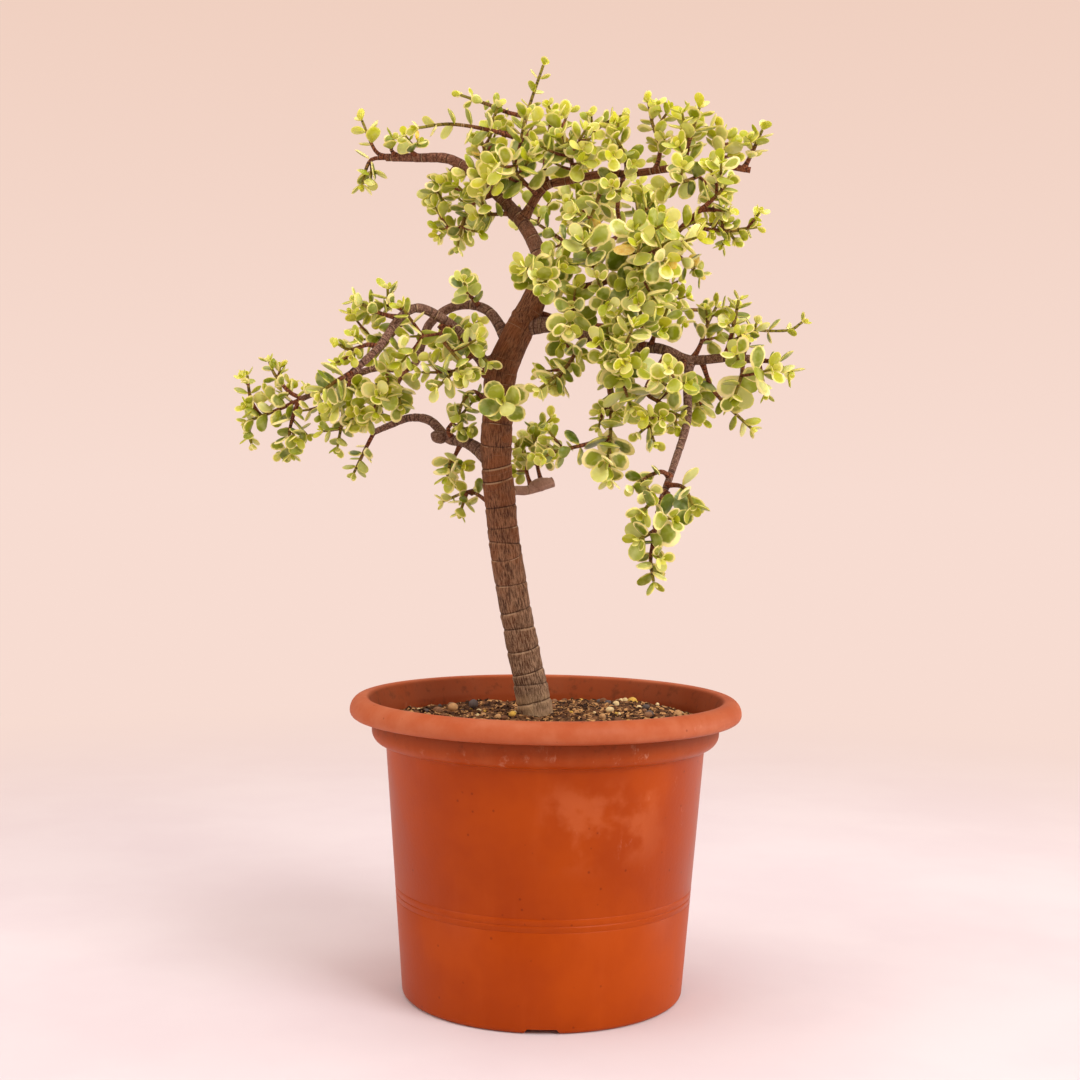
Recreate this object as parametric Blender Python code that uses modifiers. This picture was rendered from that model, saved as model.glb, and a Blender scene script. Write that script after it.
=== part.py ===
"""Potted elephant bush: a small succulent tree with cream-edged leaves in a round plastic pot.

Metres, +Z up. The origin is the middle of the pot's foot, on the surface the pot stands on.
+X is to the right and +Y is away from someone who faces the plant.
"""

import math

import bmesh
import bpy
from mathutils import Matrix, Vector, noise
from mathutils.bvhtree import BVHTree

CM = 0.01
MM = 0.001

# ---- Pot -------------------------------------------------------------------------------------
POT_HEIGHT = 0.205
RIM_RADIUS = 0.135          # widest circle of the rolled lip
LIP_HEIGHT = 0.0143
LIP_WIDTH = 0.0134
LIP_WIDEST_DROP = 0.0095    # how far below the top the lip is widest
COLLAR_RADIUS = 0.1198      # straight band under the lip
COLLAR_HEIGHT = 0.018
COLLAR_ROUND = 0.009
BODY_TOP_RADIUS = 0.110
BASE_RADIUS = 0.097
BASE_ROUND = 0.0035
WALL = 0.0025
FLOOR_LIFT = 0.004          # the floor stands this far above the foot
FOOT_WIDTH = 0.007
BOSS_RADIUS = 0.018         # round foot under the middle of the floor
NOTCHES = 4
NOTCH_WIDTH = 0.019
NOTCH_SPREAD = 0.0025
NOTCH_HEIGHT = 0.0026
HOLES = 6
HOLE_RADIUS = 0.005
HOLE_CIRCLE = 0.055
POT_SEGMENTS = 56

# ---- Soil ------------------------------------------------------------------------------------
SOIL_BELOW_RIM = 0.018
SOIL_RISE = 0.005           # the soil climbs this much from the middle to the right wall
SOIL_LUMPS = 0.0016
SOIL_SEGMENTS = 36
SOIL_RINGS = 6
TOUCH_GAP = 0.0004          # left between two pieces that touch

# ---- Plant -----------------------------------------------------------------------------------
PLANT_HEIGHT = 0.451        # soil to the highest leaf
DRAWN_HEIGHT = 0.451        # height that the branch points below were drawn at
TRUNK_RADIUS = 0.0121
TRUNK_BURIED = 0.055
POCKET_CLEARANCE = 0.0006
LIMB_THICKNESS = 1.0        # multiplies the radii of limbs and twigs
LEAF_SIZE = 1.0             # multiplies the length of every leaf
LEAF_WIDTH = 0.80           # share of a leaf's length
LEAF_THICKNESS = 0.0024
LEAF_LIFT = math.radians(38)
LEAF_ROOM = 0.0006          # free space around a leaf
NODE_HALF = 0.0013          # half the length of twig that a leaf pair sits on

# The trunk's points are in centimetres above the soil, with its radius there as a share of
# TRUNK_RADIUS. The knuckle where three limbs leave is at 24 cm.
TRUNK = [
    ((-0.7, 3.0, 0.2), 1.00), ((-1.9, 2.6, 5.9), 0.92), ((-2.7, 2.2, 10.1), 0.90),
    ((-3.3, 1.8, 14.2), 0.89), ((-3.7, 1.4, 18.4), 0.88), ((-3.6, 1.1, 21.4), 0.88),
    ((-3.4, 0.8, 24.2), 0.92), ((-2.5, 0.4, 26.4), 0.84), ((-1.5, 0.2, 28.4), 0.74),
    ((-0.5, -0.2, 31.1), 0.50),
]

# Limbs: name, parent, radius in millimetres at each end, points in centimetres above the soil.
LIMBS = [
    ("upper_left", "trunk", 5.6, 2.8, [(-1.1, 0.4, 32.8), (-2.0, 1.0, 34.4), (-3.1, 1.8, 35.8),
     (-5.3, 3.2, 38.1), (-7.4, 4.4, 39.5), (-9.7, 5.5, 39.8), (-12.1, 6.5, 40.0)]),
    ("upper_right", "limb_upper_left", 3.2, 2.1, [(-0.6, 0.6, 36.9), (1.1, 0.0, 37.3),
     (3.6, -1.0, 37.6), (5.3, -1.6, 37.5), (8.5, -2.5, 37.8), (10.8, -3.0, 37.9),
     (13.1, -3.3, 37.5)]),
    ("high_right", "trunk", 2.8, 1.7, [(1.6, -2.0, 29.7), (4.2, -3.8, 30.2), (6.6, -5.5, 31.5),
     (8.5, -6.5, 33.3), (9.6, -7.0, 34.3)]),
    ("right", "trunk", 5.0, 2.6, [(1.1, -0.5, 27.2), (3.5, -1.5, 26.0), (7.2, -3.0, 25.6),
     (9.2, -4.0, 24.8), (11.6, -5.0, 24.9), (13.8, -5.8, 24.7)]),
    ("hanging", "limb_right", 3.1, 2.0, [(9.0, -5.0, 22.6), (8.9, -6.0, 20.5),
     (8.0, -7.2, 17.7), (7.2, -8.0, 15.4), (6.8, -8.5, 13.4)]),
    ("arch_left", "trunk", 4.2, 2.3, [(-5.4, 0.0, 25.6), (-6.7, -0.8, 27.1),
     (-8.9, -1.8, 28.2), (-10.2, -2.8, 27.4), (-11.4, -4.0, 25.4), (-13.1, -4.8, 23.6)]),
    ("left", "trunk", 3.8, 2.0, [(-4.5, 1.5, 28.5), (-6.6, 2.5, 28.9), (-8.6, 3.0, 27.6),
     (-9.8, 3.5, 24.7), (-12.2, 4.0, 24.6), (-14.4, 4.5, 23.9), (-16.6, 5.0, 22.9),
     (-18.0, 5.2, 22.3)]),
    ("low_left", "trunk", 4.8, 2.2, [(-5.8, 3.0, 19.3), (-7.2, 4.0, 19.6), (-8.6, 4.8, 20.9),
     (-10.1, 5.4, 21.1), (-11.5, 6.0, 20.6), (-12.9, 6.4, 20.0)]),
    ("low_back", "trunk", 2.6, 3.8, [(-2.5, 3.2, 15.9), (-1.5, 3.8, 16.0), (0.3, 4.4, 16.6)]),
    ("back", "trunk", 3.6, 2.2, [(-0.5, 4.0, 29.9), (1.7, 7.5, 32.6), (4.5, 10.5, 34.9)]),
]

# Leafy shoots: name, parent, leaf length in millimetres, leaf pairs, and the twig's points.
SHOOTS = [
    ("crown_tip", "limb_upper_left", 9, 5, [(-2.7, 1.2, 37.5), (-2.5, 0.9, 39.0),
     (-1.8, 0.4, 42.1), (-0.8, 0.0, 45.1)]),
    ("crown_left", "shoot_crown_tip", 9, 3, [(-4.4, -0.6, 40.5), (-7.0, -1.8, 40.6),
     (-9.1, -2.8, 40.1)]),
    ("crown_left_high", "shoot_crown_tip", 9, 3, [(-3.3, 1.4, 42.2), (-4.5, 2.4, 42.9),
     (-6.6, 3.8, 43.9)]),
    ("crown_right", "limb_upper_right", 11, 4, [(1.3, -1.0, 39.1), (3.1, -2.2, 40.5),
     (4.5, -2.8, 41.1)]),
    ("upper_left_tip", "limb_upper_left", 13, 3, [(-13.0, 7.0, 40.6), (-14.0, 7.2, 42.8)]),
    ("upper_left_down", "limb_upper_left", 14, 4, [(-5.8, 2.4, 35.9), (-6.3, 1.8, 34.4),
     (-6.6, 1.4, 32.9)]),
    ("crown_front", "limb_upper_right", 15, 3, [(-2.3, -1.6, 37.2), (-2.8, -3.2, 38.1)]),
    ("top_centre", "limb_upper_right", 14, 3, [(1.1, -2.4, 38.2), (0.4, -3.6, 39.4)]),
    ("top_mid", "limb_upper_right", 15, 4, [(3.0, -3.6, 35.5), (2.3, -5.4, 33.3)]),
    ("top_pale", "limb_upper_right", 14, 2, [(4.7, -3.2, 38.4), (4.1, -4.2, 39.3)]),
    ("top_right_a", "limb_upper_right", 11, 4, [(7.2, -1.4, 39.3), (6.7, -0.8, 41.0),
     (6.4, -0.4, 42.6)]),
    ("top_right_b", "limb_upper_right", 11, 4, [(8.9, -3.6, 39.0), (9.6, -3.6, 41.5)]),
    ("top_right_c", "limb_upper_right", 11, 3, [(13.2, -3.4, 38.7), (13.8, -3.6, 40.1)]),
    ("high_right_end", "limb_high_right", 13, 3, [(10.4, -7.3, 35.0), (11.1, -7.6, 35.8)]),
    ("high_right_side", "limb_high_right", 10, 3, [(9.9, -6.2, 33.1), (11.5, -5.8, 33.1),
     (13.3, -5.4, 33.4)]),
    ("curved", "limb_upper_right", 16, 3, [(4.3, -3.4, 34.6), (5.1, -5.2, 32.1),
     (5.6, -7.6, 30.1)]),
    ("round_leaf", "limb_high_right", 17, 3, [(2.6, -4.2, 31.2), (2.0, -6.0, 32.3)]),
    ("rosette_top", "trunk", 16, 4, [(-0.4, -3.0, 30.2), (-0.5, -5.6, 30.1)]),
    ("right_back", "trunk", 12, 8, [(3.7, 1.0, 27.5), (7.3, 2.4, 28.5), (10.7, 3.4, 28.9),
     (13.8, 4.2, 27.8), (16.9, 4.6, 27.7), (18.0, 4.6, 28.3)]),
    ("right_end", "limb_right", 14, 3, [(14.6, -6.2, 24.5), (15.4, -6.6, 23.9)]),
    ("right_up", "limb_right", 12, 4, [(11.8, -5.4, 26.4), (12.2, -5.6, 28.6)]),
    ("orange", "limb_right", 11, 3, [(10.8, -3.6, 22.9), (12.1, -3.2, 21.6),
     (13.5, -2.8, 20.4)]),
    ("hanging_mid", "limb_hanging", 17, 3, [(8.5, -9.2, 16.3), (9.0, -10.2, 15.2)]),
    ("hanging_end", "limb_hanging", 14, 4, [(6.5, -8.8, 11.7), (6.7, -9.0, 10.3)]),
    ("inner_rosette", "limb_right", 15, 3, [(3.8, -3.0, 23.8), (4.0, -4.4, 21.6),
     (3.9, -6.0, 18.9), (3.6, -7.2, 17.9)]),
    ("thin", "shoot_inner_rosette", 13, 4, [(1.7, -4.6, 18.9), (-0.8, -3.8, 18.3)]),
    ("big_rosette", "limb_right", 17, 3, [(4.7, -4.6, 24.4), (4.5, -6.8, 23.3)]),
    ("crook", "limb_right", 12, 4, [(6.3, -4.4, 22.7), (7.5, -5.4, 21.5), (5.8, -6.4, 19.8)]),
    ("trunk_right", "limb_right", 14, 4, [(1.8, -2.6, 25.6), (1.0, -3.8, 24.2),
     (-0.7, -5.0, 22.7)]),
    ("trunk_rosette", "trunk", 15, 3, [(-3.1, -1.8, 21.8), (-3.2, -3.6, 21.9)]),
    ("knuckle", "limb_arch_left", 12, 3, [(-6.6, -1.8, 23.9), (-7.6, -3.0, 22.8)]),
    ("left_top", "limb_left", 15, 3, [(-5.8, 0.4, 29.6), (-6.0, -1.2, 30.2)]),
    ("left_mid", "limb_left", 13, 3, [(-10.7, 2.0, 23.2), (-10.4, 1.0, 21.8)]),
    ("arch_end", "limb_arch_left", 13, 3, [(-14.2, -5.2, 22.9), (-15.1, -5.6, 22.2)]),
    ("left_end", "limb_left", 12, 5, [(-19.8, 5.6, 21.5), (-21.9, 5.8, 20.7)]),
    ("left_up", "limb_arch_left", 13, 3, [(-11.7, -2.6, 27.8), (-13.2, -2.6, 28.6)]),
    ("left_hang", "limb_left", 13, 4, [(-14.8, 4.2, 21.4), (-15.1, 3.8, 18.9)]),
    ("low_left_end", "limb_low_left", 12, 3, [(-13.4, 6.8, 18.9), (-14.3, 7.2, 17.1)]),
    ("low_back", "trunk", 11, 3, [(-5.6, 4.6, 15.8), (-7.6, 5.6, 15.1)]),
    ("low_back_right", "limb_low_back", 12, 3, [(-0.9, 5.2, 18.2), (-1.0, 5.8, 20.4)]),
    ("back_a", "limb_back", 14, 4, [(6.7, 12.2, 36.3), (7.9, 13.2, 38.0)]),
    ("back_b", "limb_back", 14, 3, [(2.9, 11.0, 36.1), (2.5, 12.4, 38.6)]),
    ("back_c", "limb_back", 14, 4, [(0.6, 10.0, 34.8), (-2.4, 11.6, 36.9)]),
    ("back_d", "trunk", 14, 4, [(-5.8, 5.0, 26.4), (-7.4, 8.0, 27.4), (-8.3, 10.6, 26.5)]),
]
TWIG_RADIUS = 1.7           # millimetres, at a twig's foot
TWIG_TIP = 1.0

# Stones: name, place on the soil in centimetres, half sizes in millimetres.
STONES = [
    ("tan", (-6.6, 4.0), (5.2, 4.2, 3.4)),
    ("grey", (-5.2, 5.6), (4.4, 5.2, 3.6)),
    ("yellow", (6.4, 6.2), (4.6, 4.0, 3.2)),
]

soil_level = POT_HEIGHT - SOIL_BELOW_RIM
growth = PLANT_HEIGHT / DRAWN_HEIGHT


# ---- Scene and materials -----------------------------------------------------------------------
def new_collection(name):
    collection = bpy.data.collections.new(name)
    bpy.context.scene.collection.children.link(collection)
    return collection


def clear_scene():
    for item in list(bpy.data.objects):
        bpy.data.objects.remove(item, do_unlink=True)


def finish(name, colour, roughness):
    """A plain Principled material."""
    material = bpy.data.materials.new(name)
    material.use_nodes = True
    shader = material.node_tree.nodes["Principled BSDF"]
    shader.inputs["Base Color"].default_value = (*colour, 1)
    shader.inputs["Roughness"].default_value = roughness
    shader.inputs["Metallic"].default_value = 0
    return material


def add_object(name, data, material, collection):
    item = bpy.data.objects.new(name, data)
    if material:
        data.materials.append(material)
    collection.objects.link(item)
    return item


def as_mesh(item):
    """The same object with its modifiers applied, as one mesh with its seams welded."""
    graph = bpy.context.evaluated_depsgraph_get()
    data = bpy.data.meshes.new_from_object(item.evaluated_get(graph))
    shape = bmesh.new()
    shape.from_mesh(data)
    bmesh.ops.remove_doubles(shape, verts=shape.verts, dist=0.00002)
    bmesh.ops.recalc_face_normals(shape, faces=shape.faces)
    shape.to_mesh(data)
    shape.free()
    name = item.name
    collection = item.users_collection[0]
    bpy.data.objects.remove(item, do_unlink=True)
    result = bpy.data.objects.new(name, data)
    collection.objects.link(result)
    bpy.context.view_layer.update()
    return result


def smooth_round(item, angle=40):
    item.data.shade_smooth()
    item.data.set_sharp_from_angle(angle=math.radians(angle))


def cut(item, cutter):
    modifier = item.modifiers.new("cut", "BOOLEAN")
    modifier.operation = "DIFFERENCE"
    modifier.solver = "EXACT"
    modifier.object = cutter


def hide_cutter(item):
    item.hide_render = True
    item.display_type = "WIRE"


# ---- Curves ------------------------------------------------------------------------------------
def smooth_path(points, steps):
    """A Catmull-Rom curve through the points, with this many steps between two of them."""
    first = points[0] * 2 - points[1]
    last = points[-1] * 2 - points[-2]
    padded = [first, *points, last]
    path = []
    for index in range(1, len(padded) - 2):
        a, b, c, d = padded[index - 1:index + 3]
        for step in range(steps):
            t = step / steps
            path.append(0.5 * (b * 2 + (c - a) * t + (a * 2 - b * 5 + c * 4 - d) * t ** 2
                               + (b * 3 - a - c * 3 + d) * t ** 3))
    path.append(points[-1])
    return path


def lengths_along(path):
    total = [0.0]
    for a, b in zip(path, path[1:]):
        total.append(total[-1] + (b - a).length)
    return total


def place_along(path, distance):
    """The point this far along a path, and the direction there."""
    total = lengths_along(path)
    index = 0
    while index < len(path) - 2 and total[index + 1] < distance:
        index += 1
    span = total[index + 1] - total[index]
    share = (distance - total[index]) / span
    return path[index].lerp(path[index + 1], share), (path[index + 1] - path[index]).normalized()


def plant_point(drawn):
    """A point of the plant, drawn in centimetres above the soil, in the pot's own frame."""
    x, y, z = drawn
    return Vector((x, y, z)) * CM * growth + Vector((0, 0, soil_level))


def tube(name, path, radii, sides_step, material, collection):
    """A round tube with closed ends along a path."""
    curve = bpy.data.curves.new(name, "CURVE")
    curve.dimensions = "3D"
    curve.bevel_depth = 1
    curve.bevel_resolution = sides_step
    curve.use_fill_caps = True
    spline = curve.splines.new("POLY")
    spline.points.add(len(path) - 1)
    for point, place, radius in zip(spline.points, path, radii):
        point.co = (*place, 1)
        point.radius = radius
    item = as_mesh(add_object(name, curve, None, collection))
    item.data.materials.append(material)
    smooth_round(item, 60)
    return item


# ---- Pot ---------------------------------------------------------------------------------------
def quarter(centre, radius, start, end, steps):
    """Points on a round corner, from one angle in degrees to another."""
    corner = []
    for step in range(steps + 1):
        angle = math.radians(start + (end - start) * step / steps)
        corner.append((centre[0] + radius * math.cos(angle), centre[1] + radius * math.sin(angle)))
    return corner


collar_top = POT_HEIGHT - LIP_HEIGHT
collar_bottom = collar_top - COLLAR_HEIGHT
collar_inside = COLLAR_RADIUS - WALL
body_inside = BODY_TOP_RADIUS - WALL
floor_top = FLOOR_LIFT + WALL
base_inside = BASE_RADIUS - WALL
floor_round = BASE_ROUND + WALL


def pot_profile():
    """From the middle of the floor up the inside, over the lip and down the outside."""
    lip_inside = RIM_RADIUS - LIP_WIDTH
    lip_middle = lip_inside + LIP_WIDTH * 0.38
    inside = [(0, floor_top)]
    inside += quarter((base_inside - floor_round, floor_top + floor_round), floor_round, -90, 0, 2)
    inside += [(body_inside, collar_bottom + WALL * 0.5),
               (collar_inside, collar_bottom + COLLAR_ROUND),
               (collar_inside, collar_top)]
    lip = [(lip_inside, POT_HEIGHT - WALL), (lip_inside + WALL * 0.7, POT_HEIGHT - WALL * 0.25),
           (lip_middle, POT_HEIGHT), (lip_middle + (RIM_RADIUS - lip_middle) * 0.6,
                                      POT_HEIGHT - LIP_WIDEST_DROP * 0.28),
           (RIM_RADIUS - LIP_WIDTH * 0.09, POT_HEIGHT - LIP_WIDEST_DROP * 0.6),
           (RIM_RADIUS, POT_HEIGHT - LIP_WIDEST_DROP),
           (RIM_RADIUS - LIP_WIDTH * 0.1, collar_top)]
    collar = [(COLLAR_RADIUS, collar_top + WALL * 0.3)]
    collar += quarter((COLLAR_RADIUS - COLLAR_ROUND, collar_bottom + COLLAR_ROUND), COLLAR_ROUND,
                      0, -70, 3)
    body = [(BODY_TOP_RADIUS, collar_bottom)]
    body += quarter((BASE_RADIUS - BASE_ROUND, BASE_ROUND), BASE_ROUND, 0, -90, 2)
    foot = BASE_RADIUS - BASE_ROUND - FOOT_WIDTH
    under = [(foot, 0), (foot - FLOOR_LIFT * 0.5, FLOOR_LIFT),
             (BOSS_RADIUS + FLOOR_LIFT * 0.5, FLOOR_LIFT), (BOSS_RADIUS, 0), (0, 0)]
    return inside + lip + collar + body + under


def turned(name, profile, segments, collection):
    """A solid of revolution about the Z axis, from a profile in (radius, height)."""
    mesh = bpy.data.meshes.new(name)
    points = [(radius, 0, height) for radius, height in profile]
    mesh.from_pydata(points, [(i, i + 1) for i in range(len(points) - 1)], [])
    item = add_object(name, mesh, None, collection)
    screw = item.modifiers.new("turn", "SCREW")
    screw.axis = "Z"
    screw.steps = segments
    screw.render_steps = segments
    screw.use_merge_vertices = True
    screw.merge_threshold = 0.0001
    return item


def notch_cutter(index, cutters):
    """A wedge across the foot ring, wider at the bottom, that lets water out."""
    shape = bmesh.new()
    reach = BASE_ROUND + FOOT_WIDTH * 2
    low = -0.002
    spread_low = NOTCH_WIDTH / 2 + NOTCH_SPREAD * (1 - low / NOTCH_HEIGHT)
    bmesh.ops.create_cube(shape, size=1)
    for vert in shape.verts:
        half_width = spread_low if vert.co.z < 0 else NOTCH_WIDTH / 2
        vert.co.y = math.copysign(half_width, vert.co.y)
        vert.co.x = BASE_RADIUS + math.copysign(reach, vert.co.x)
        vert.co.z = low if vert.co.z < 0 else NOTCH_HEIGHT
    mesh = bpy.data.meshes.new(f"notch_cutter_{index}")
    shape.to_mesh(mesh)
    shape.free()
    item = add_object(mesh.name, mesh, None, cutters)
    item.rotation_euler.z = math.tau * index / NOTCHES - math.pi / 2
    return item


def hole_cutter(index, cutters):
    """A round drainage hole through the floor."""
    shape = bmesh.new()
    bmesh.ops.create_cone(shape, cap_ends=True, segments=12, radius1=HOLE_RADIUS,
                          radius2=HOLE_RADIUS, depth=floor_top * 4)
    mesh = bpy.data.meshes.new(f"hole_cutter_{index}")
    shape.to_mesh(mesh)
    shape.free()
    item = add_object(mesh.name, mesh, None, cutters)
    angle = math.tau * (index + 0.5) / HOLES
    item.location = (HOLE_CIRCLE * math.cos(angle), HOLE_CIRCLE * math.sin(angle), 0)
    return item


def make_pot(parts, cutters):
    pot = turned("pot", pot_profile(), POT_SEGMENTS, parts)
    pot.data.materials.append(finish("terracotta_plastic", (0.50, 0.085, 0.020), 0.42))
    for index in range(NOTCHES):
        cutter = notch_cutter(index, cutters)
        hide_cutter(cutter)
        cut(pot, cutter)
    for index in range(HOLES):
        cutter = hole_cutter(index, cutters)
        hide_cutter(cutter)
        cut(pot, cutter)
    smooth_round(pot)


# ---- Soil --------------------------------------------------------------------------------------
def soil_top(x, y):
    """Height of the soil: it climbs to the right and is a little lumpy."""
    lump = noise.noise(Vector((x, y, 0)) * 45) * SOIL_LUMPS
    return soil_level + SOIL_RISE * max(x, 0) / collar_inside + lump


def soil_profile():
    top_radius = collar_inside - TOUCH_GAP
    low_radius = body_inside - TOUCH_GAP
    bottom = floor_top + TOUCH_GAP
    corner = base_inside - floor_round - TOUCH_GAP
    profile = [(top_radius * ring / SOIL_RINGS, soil_level) for ring in range(SOIL_RINGS + 1)]
    profile += [(top_radius, collar_bottom + COLLAR_ROUND + TOUCH_GAP),
                (low_radius, collar_bottom + WALL * 0.5),
                (base_inside - TOUCH_GAP * 2, floor_top + floor_round + TOUCH_GAP),
                (corner, bottom), (0, bottom)]
    return profile


def make_soil(parts, cutters, trunk_path):
    soil = as_mesh(turned("soil", soil_profile(), SOIL_SEGMENTS, parts))
    soil.data.materials.append(finish("potting_mix", (0.075, 0.042, 0.024), 0.95))
    for vert in soil.data.vertices:
        if vert.co.z > soil_level - TOUCH_GAP:
            vert.co.z = soil_top(vert.co.x, vert.co.y)
    path = list(trunk_path)
    path[0] = path[0] + (path[0] - path[1]).normalized() * POCKET_CLEARANCE
    radii = [trunk_radius(place) + POCKET_CLEARANCE for place in path]
    pocket = tube("pocket_cutter", path, radii, 3, finish("cutter", (1, 1, 1), 1), cutters)
    hide_cutter(pocket)
    cut(soil, pocket)
    return as_mesh(soil)


def make_stone(name, place, half_sizes, soil_tree, colour, parts):
    """A rounded pebble that lies on the soil."""
    shape = bmesh.new()
    bmesh.ops.create_icosphere(shape, subdivisions=2, radius=1)
    for vert in shape.verts:
        lump = 1 + 0.16 * noise.noise(vert.co * 1.3 + Vector((len(name), 0, 0)))
        vert.co = Vector([axis * half * MM * lump for axis, half in zip(vert.co, half_sizes)])
    x, y = (value * CM for value in place)
    shape.transform(Matrix.Translation((x, y, POT_HEIGHT)))
    room = min(vert.co.z - soil_tree.ray_cast(vert.co, Vector((0, 0, -1)))[0].z
               for vert in shape.verts)
    shape.transform(Matrix.Translation((0, 0, TOUCH_GAP - room)))
    mesh = bpy.data.meshes.new(f"stone_{name}")
    shape.to_mesh(mesh)
    shape.free()
    smooth_round(add_object(mesh.name, mesh, finish(f"stone_{name}", colour, 0.8), parts), 60)


# ---- Wood --------------------------------------------------------------------------------------
trunk_points = [plant_point(drawn) for drawn, _ in TRUNK]
trunk_heights = [point.z for point in trunk_points]


def trunk_radius(place):
    """The trunk's radius at a place on its line, read from its height."""
    shares = [share for _, share in TRUNK]
    if place.z <= trunk_heights[0]:
        buried = min((trunk_heights[0] - place.z) / TRUNK_BURIED, 1)
        return TRUNK_RADIUS * (1 - 0.25 * buried)
    for index in range(len(trunk_heights) - 1):
        low, high = trunk_heights[index:index + 2]
        if place.z <= high:
            share = (place.z - low) / (high - low)
            return TRUNK_RADIUS * (shares[index] + (shares[index + 1] - shares[index]) * share)
    return TRUNK_RADIUS * shares[-1]


def trunk_line():
    root = trunk_points[0] + (trunk_points[0] - trunk_points[1]).normalized() * TRUNK_BURIED
    return smooth_path([root, *trunk_points], 2)


def leave_parent(parent, toward):
    """Where a branch starts: just off its parent's bark, or off its end, and facing outwards."""
    path, radii = parent
    best = None
    for index in range(len(path) - 1):
        along = path[index + 1] - path[index]
        share = (toward - path[index]).dot(along) / along.length_squared
        share = min(max(share, 0), 1)
        foot = path[index] + along * share
        distance = (toward - foot).length
        if best is None or distance < best[0]:
            radius = radii[index] + (radii[index + 1] - radii[index]) * share
            at_end = index == len(path) - 2 and share == 1
            best = (distance, foot, radius, at_end, along.normalized())
    _, foot, radius, at_end, along = best
    if at_end:
        return foot + along * TOUCH_GAP, along
    outwards = (toward - foot).normalized()
    return foot + outwards * (radius + TOUCH_GAP), outwards


def branch_line(parent, drawn, steps, radius):
    points = [plant_point(point) for point in drawn]
    start, outwards = leave_parent(parent, points[0])
    collar = start + outwards * min(radius, (points[0] - start).length * 0.5)
    path = smooth_path([collar, *points], steps)
    return [start, *path]


def tapered(path, base, tip):
    total = lengths_along(path)
    return [base + (tip - base) * distance / total[-1] for distance in total]


# ---- Leafy shoots ------------------------------------------------------------------------------
def twig_stations(path, pairs):
    """Places along a twig: its foot, the two ends of each short leaf-bearing piece, and its end."""
    total = lengths_along(path)
    bare = total[-1] * 0.30
    stations = [0.0, total[1]]
    for pair in range(pairs):
        middle = bare + (total[-1] - bare - NODE_HALF * 3) * (pair + 1) / pairs
        stations += [middle - NODE_HALF, middle + NODE_HALF]
    stations.append(total[-1])
    return stations


def leaf_corners(centre, normal, along, face_verts, length):
    """New places for a face's corners, at the leaf's widest part and at its tip."""
    side = along.cross(normal).normalized()
    outwards = normal * math.cos(LEAF_LIFT) + along * math.sin(LEAF_LIFT)
    upwards = along * math.cos(LEAF_LIFT) - normal * math.sin(LEAF_LIFT)
    rings = []
    for share, width, thickness in ((0.60, 1.0, 1.0), (1.0, 0.45, 0.6)):
        middle = centre + outwards * length * share
        half_width = length * LEAF_WIDTH * width / 2
        half_thickness = LEAF_THICKNESS * thickness / 2
        ring = []
        for vert in face_verts:
            offset = vert.co - centre
            ring.append(middle + side * math.copysign(half_width, offset.dot(side))
                        + upwards * math.copysign(half_thickness, offset.dot(along)))
        rings.append(ring)
    return rings


def leaf_tree(centre, rings):
    """A slightly fatter copy of a leaf, for finding out whether there is room for it."""
    points = []
    for ring in rings:
        middle = sum(ring, Vector()) / 4
        points += [corner + (corner - middle).normalized() * LEAF_ROOM for corner in ring]
    points.append(centre.lerp(sum(rings[0], Vector()) / 4, 0.25))
    tip = sum(rings[1], Vector()) / 4
    points.append(tip + (tip - centre).normalized() * LEAF_ROOM)
    faces = [(0, 1, 5, 4), (1, 2, 6, 5), (2, 3, 7, 6), (3, 0, 4, 7)]
    faces += [(a, b, 8) for a, b in ((0, 1), (1, 2), (2, 3), (3, 0))]
    faces += [(a, b, 9) for a, b in ((4, 5), (5, 6), (6, 7), (7, 4))]
    return BVHTree.FromPolygons(points, faces)


def leaf_outline(face, rings):
    """The leaf just as it will be, with its neck, for finding out whether it crosses anything."""
    points = [vert.co.copy() for vert in face.verts] + rings[0] + rings[1]
    faces = [(8, 9, 10, 11)]
    for ring in (0, 4):
        for corner in range(4):
            following = (corner + 1) % 4
            faces.append((ring + corner, ring + following, ring + 4 + following, ring + 4 + corner))
    return BVHTree.FromPolygons(points, faces)


def side_faces(shape, path, stations):
    """The faces round each leaf-bearing piece of a twig, as pairs of opposite faces."""
    found = []
    for index in range(len(stations) - 1):
        if index < 2 or index % 2:
            continue
        place, along = place_along(path, (stations[index] + stations[index + 1]) / 2)
        ring = sorted(shape.faces, key=lambda face: (face.calc_center_median() - place).length)[:4]
        ring.sort(key=lambda face: face.normal.dot(along.orthogonal()))
        found.append((along, [ring[0], ring[3]], [ring[1], ring[2]]))
    return found


def extrude_leaf(shape, face, rings):
    for ring in rings:
        face = bmesh.ops.extrude_discrete_faces(shape, faces=[face])["faces"][0]
        for vert, place in zip(face.verts, ring):
            vert.co = place


def grow_leaves(item, path, stations, leaf_length, neighbours):
    """Leaves in pairs, each pair turned a quarter from the last, where there is room for them."""
    shape = bmesh.new()
    shape.from_mesh(item.data)
    shape.normal_update()
    own = []
    for index, (along, first, second) in enumerate(side_faces(shape, path, stations)):
        for face in first if index % 2 else second:
            centre = face.calc_center_median()
            for length in (leaf_length, leaf_length * 0.8, leaf_length * 0.62):
                rings = leaf_corners(centre, face.normal, along, face.verts, length)
                tree = leaf_tree(centre, rings)
                outline = leaf_outline(face, rings)
                if (not any(tree.overlap(other) for other in neighbours + own)
                        and not any(outline.overlap(other) for other in neighbours)):
                    own.append(tree)
                    extrude_leaf(shape, face, rings)
                    break
    bmesh.ops.recalc_face_normals(shape, faces=shape.faces)
    shape.to_mesh(item.data)
    shape.free()
    smooth_round(item, 50)


def tree_of(item):
    points = [vert.co.copy() for vert in item.data.vertices]
    return BVHTree.FromPolygons(points, [tuple(face.vertices) for face in item.data.polygons])


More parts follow.
